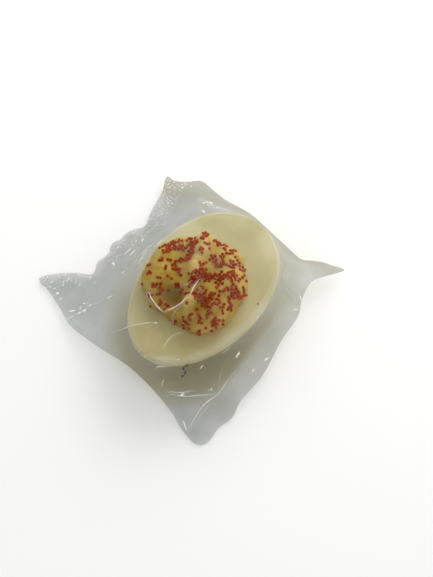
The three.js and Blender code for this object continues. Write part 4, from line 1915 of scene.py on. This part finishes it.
@dataclass
class Studio:
    """A pale floor, soft lights and the camera. Millimetres, turned into metres on building."""

    azimuth: float = -52.8
    elevation: float = 65.0
    eye: tuple[float, float, float] = (-98.85, -80.87, 292.5)
    lens: float = 58.4
    floor_size: float = 1600.0
    world: float = 1.81
    lean: float = 0.3
    lean_bearing: float = 310.0
    # The room by height, from the horizon at 0 to overhead at 1: how light it is at each.
    room: tuple[tuple[float, str], ...] = (
        (0.45, "b9babb"),
        (0.55, "e2e3e5"),
        (0.7, "e2e3e5"),
        (0.8, "36383a"),
        (0.93, "36383a"),
        (0.98, "ffffff"),
    )
    window_power: float = 0.64
    spot_power: float = 0.12

    def add_floor(self, finish: PaintedBoard) -> None:
        """Lays the floor just under the part."""
        shape = bmesh.new()
        bmesh.ops.create_grid(shape, x_segments=1, y_segments=1, size=self.floor_size / 2 * MM)
        mesh = bpy.data.meshes.new("floor")
        shape.to_mesh(mesh)
        shape.free()
        mesh.materials.append(finish.make())
        floor = bpy.data.objects.new("floor", mesh)
        floor.location.z = -0.05 * MM
        bpy.context.scene.collection.objects.link(floor)

    def add_light(
        self,
        name: str,
        bearing: float,
        height: float,
        distance: float,
        size: float,
        power: float,
        colour: str,
    ) -> bpy.types.Object:
        """Adds a square soft light that faces the part.

        Args:
            name: The light's name.
            bearing: Its side, in degrees from +X towards +Y.
            height: Its elevation in degrees.
            distance: How far it is, in millimetres.
            size: Its side length in millimetres.
            power: Its power in watts.
            colour: Its colour as sRGB hex.

        Returns:
            The light.
        """
        lamp = bpy.data.lights.new(name, "AREA")
        lamp.size = size * MM
        lamp.energy = power
        lamp.color = linear(colour)[:3]
        light = bpy.data.objects.new(name, lamp)
        side, up = math.radians(bearing), math.radians(height)
        way = Vector((math.cos(side) * math.cos(up), math.sin(side) * math.cos(up), math.sin(up)))
        light.location = way * distance * MM
        light.rotation_euler = way.to_track_quat("Z", "Y").to_euler()
        bpy.context.scene.collection.objects.link(light)
        return light

    def add_camera(self) -> None:
        """Adds the camera and makes it the scene's own."""
        turn, rise = math.radians(self.azimuth), math.radians(self.elevation)
        flat = math.cos(rise)
        back = Vector((math.sin(turn) * flat, -math.cos(turn) * flat, math.sin(rise)))
        right = Vector((math.cos(turn), math.sin(turn), 0.0))
        lens = bpy.data.cameras.new("camera")
        lens.lens = self.lens
        lens.sensor_width = 36.0
        lens.clip_start = 0.01
        camera = bpy.data.objects.new("camera", lens)
        axes = Matrix((right, back.cross(right), back)).transposed()
        camera.matrix_world = Matrix.Translation(Vector(self.eye) * MM) @ axes.to_4x4()
        bpy.context.scene.collection.objects.link(camera)
        bpy.context.scene.camera = camera

    def build(self, floor: PaintedBoard) -> None:
        """Sets up the floor, lights, sky and camera.

        Args:
            floor: The floor's finish.
        """
        self.add_floor(floor)
        window = self.add_light("window", 12.0, 42.0, 380.0, 240.0, self.window_power, "fffaf0")
        # The window lights the part through a blind, so the film shows no image of it.
        window.visible_glossy = False
        self.add_light("spot_far", 62.0, 33.0, 900.0, 70.0, self.spot_power, "ffffff")
        self.add_light("spot_left", 100.0, 52.0, 900.0, 70.0, self.spot_power, "f6faff")
        self.add_sky()
        bpy.context.scene.view_settings.view_transform = "Standard"
        self.add_camera()

    def add_sky(self) -> None:
        """Surrounds the part with pale walls under a dim ceiling with a lamp in its middle."""
        sky = bpy.data.worlds.new("sky")
        sky.use_nodes = True
        tree = sky.node_tree
        way = add_node(tree, "ShaderNodeTexCoord").outputs["Generated"]
        height = add_node(tree, "ShaderNodeSeparateXYZ", {"Vector": way}).outputs["Z"]
        # The room is brighter on one side.
        turn = math.radians(self.lean_bearing)
        bright_side = (math.cos(turn), math.sin(turn), 0.0)
        inputs = {0: way, 1: bright_side}
        toward = add_node(tree, "ShaderNodeVectorMath", inputs, operation="DOT_PRODUCT")
        strength = add_node(
            tree,
            "ShaderNodeMath",
            {0: toward.outputs["Value"], 1: self.world * self.lean, 2: self.world},
            operation="MULTIPLY_ADD",
        )
        shade = add_node(tree, "ShaderNodeValToRGB", {"Fac": height}, dict(self.room))
        background = tree.nodes["Background"]
        tree.links.new(shade.outputs["Color"], background.inputs["Color"])
        tree.links.new(strength.outputs["Value"], background.inputs["Strength"])
        bpy.context.scene.world = sky


def main() -> None:
    """Builds the sweet and its studio, and reports each piece."""
    logging.basicConfig(level=logging.INFO, format="%(name)s: %(message)s")
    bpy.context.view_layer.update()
    egg = EggWhite()
    filling = Filling()
    beads = SugarBeads(filling=filling)
    contents = [
        egg.build(CastCandy()),
        filling.build(PipedCandy()),
        beads.build(SugarShell()),
    ]
    bag = FilmBag(egg=egg)
    film = bag.build(ClearFilm(), contents)
    marks = FilmMarks(bag=bag, film=film)
    marks.build(PaintedFilmHighlight())
    marks.build_dashes(PrintInk())
    Studio().build(PaintedBoard())


if __name__ == "__main__":
    main()
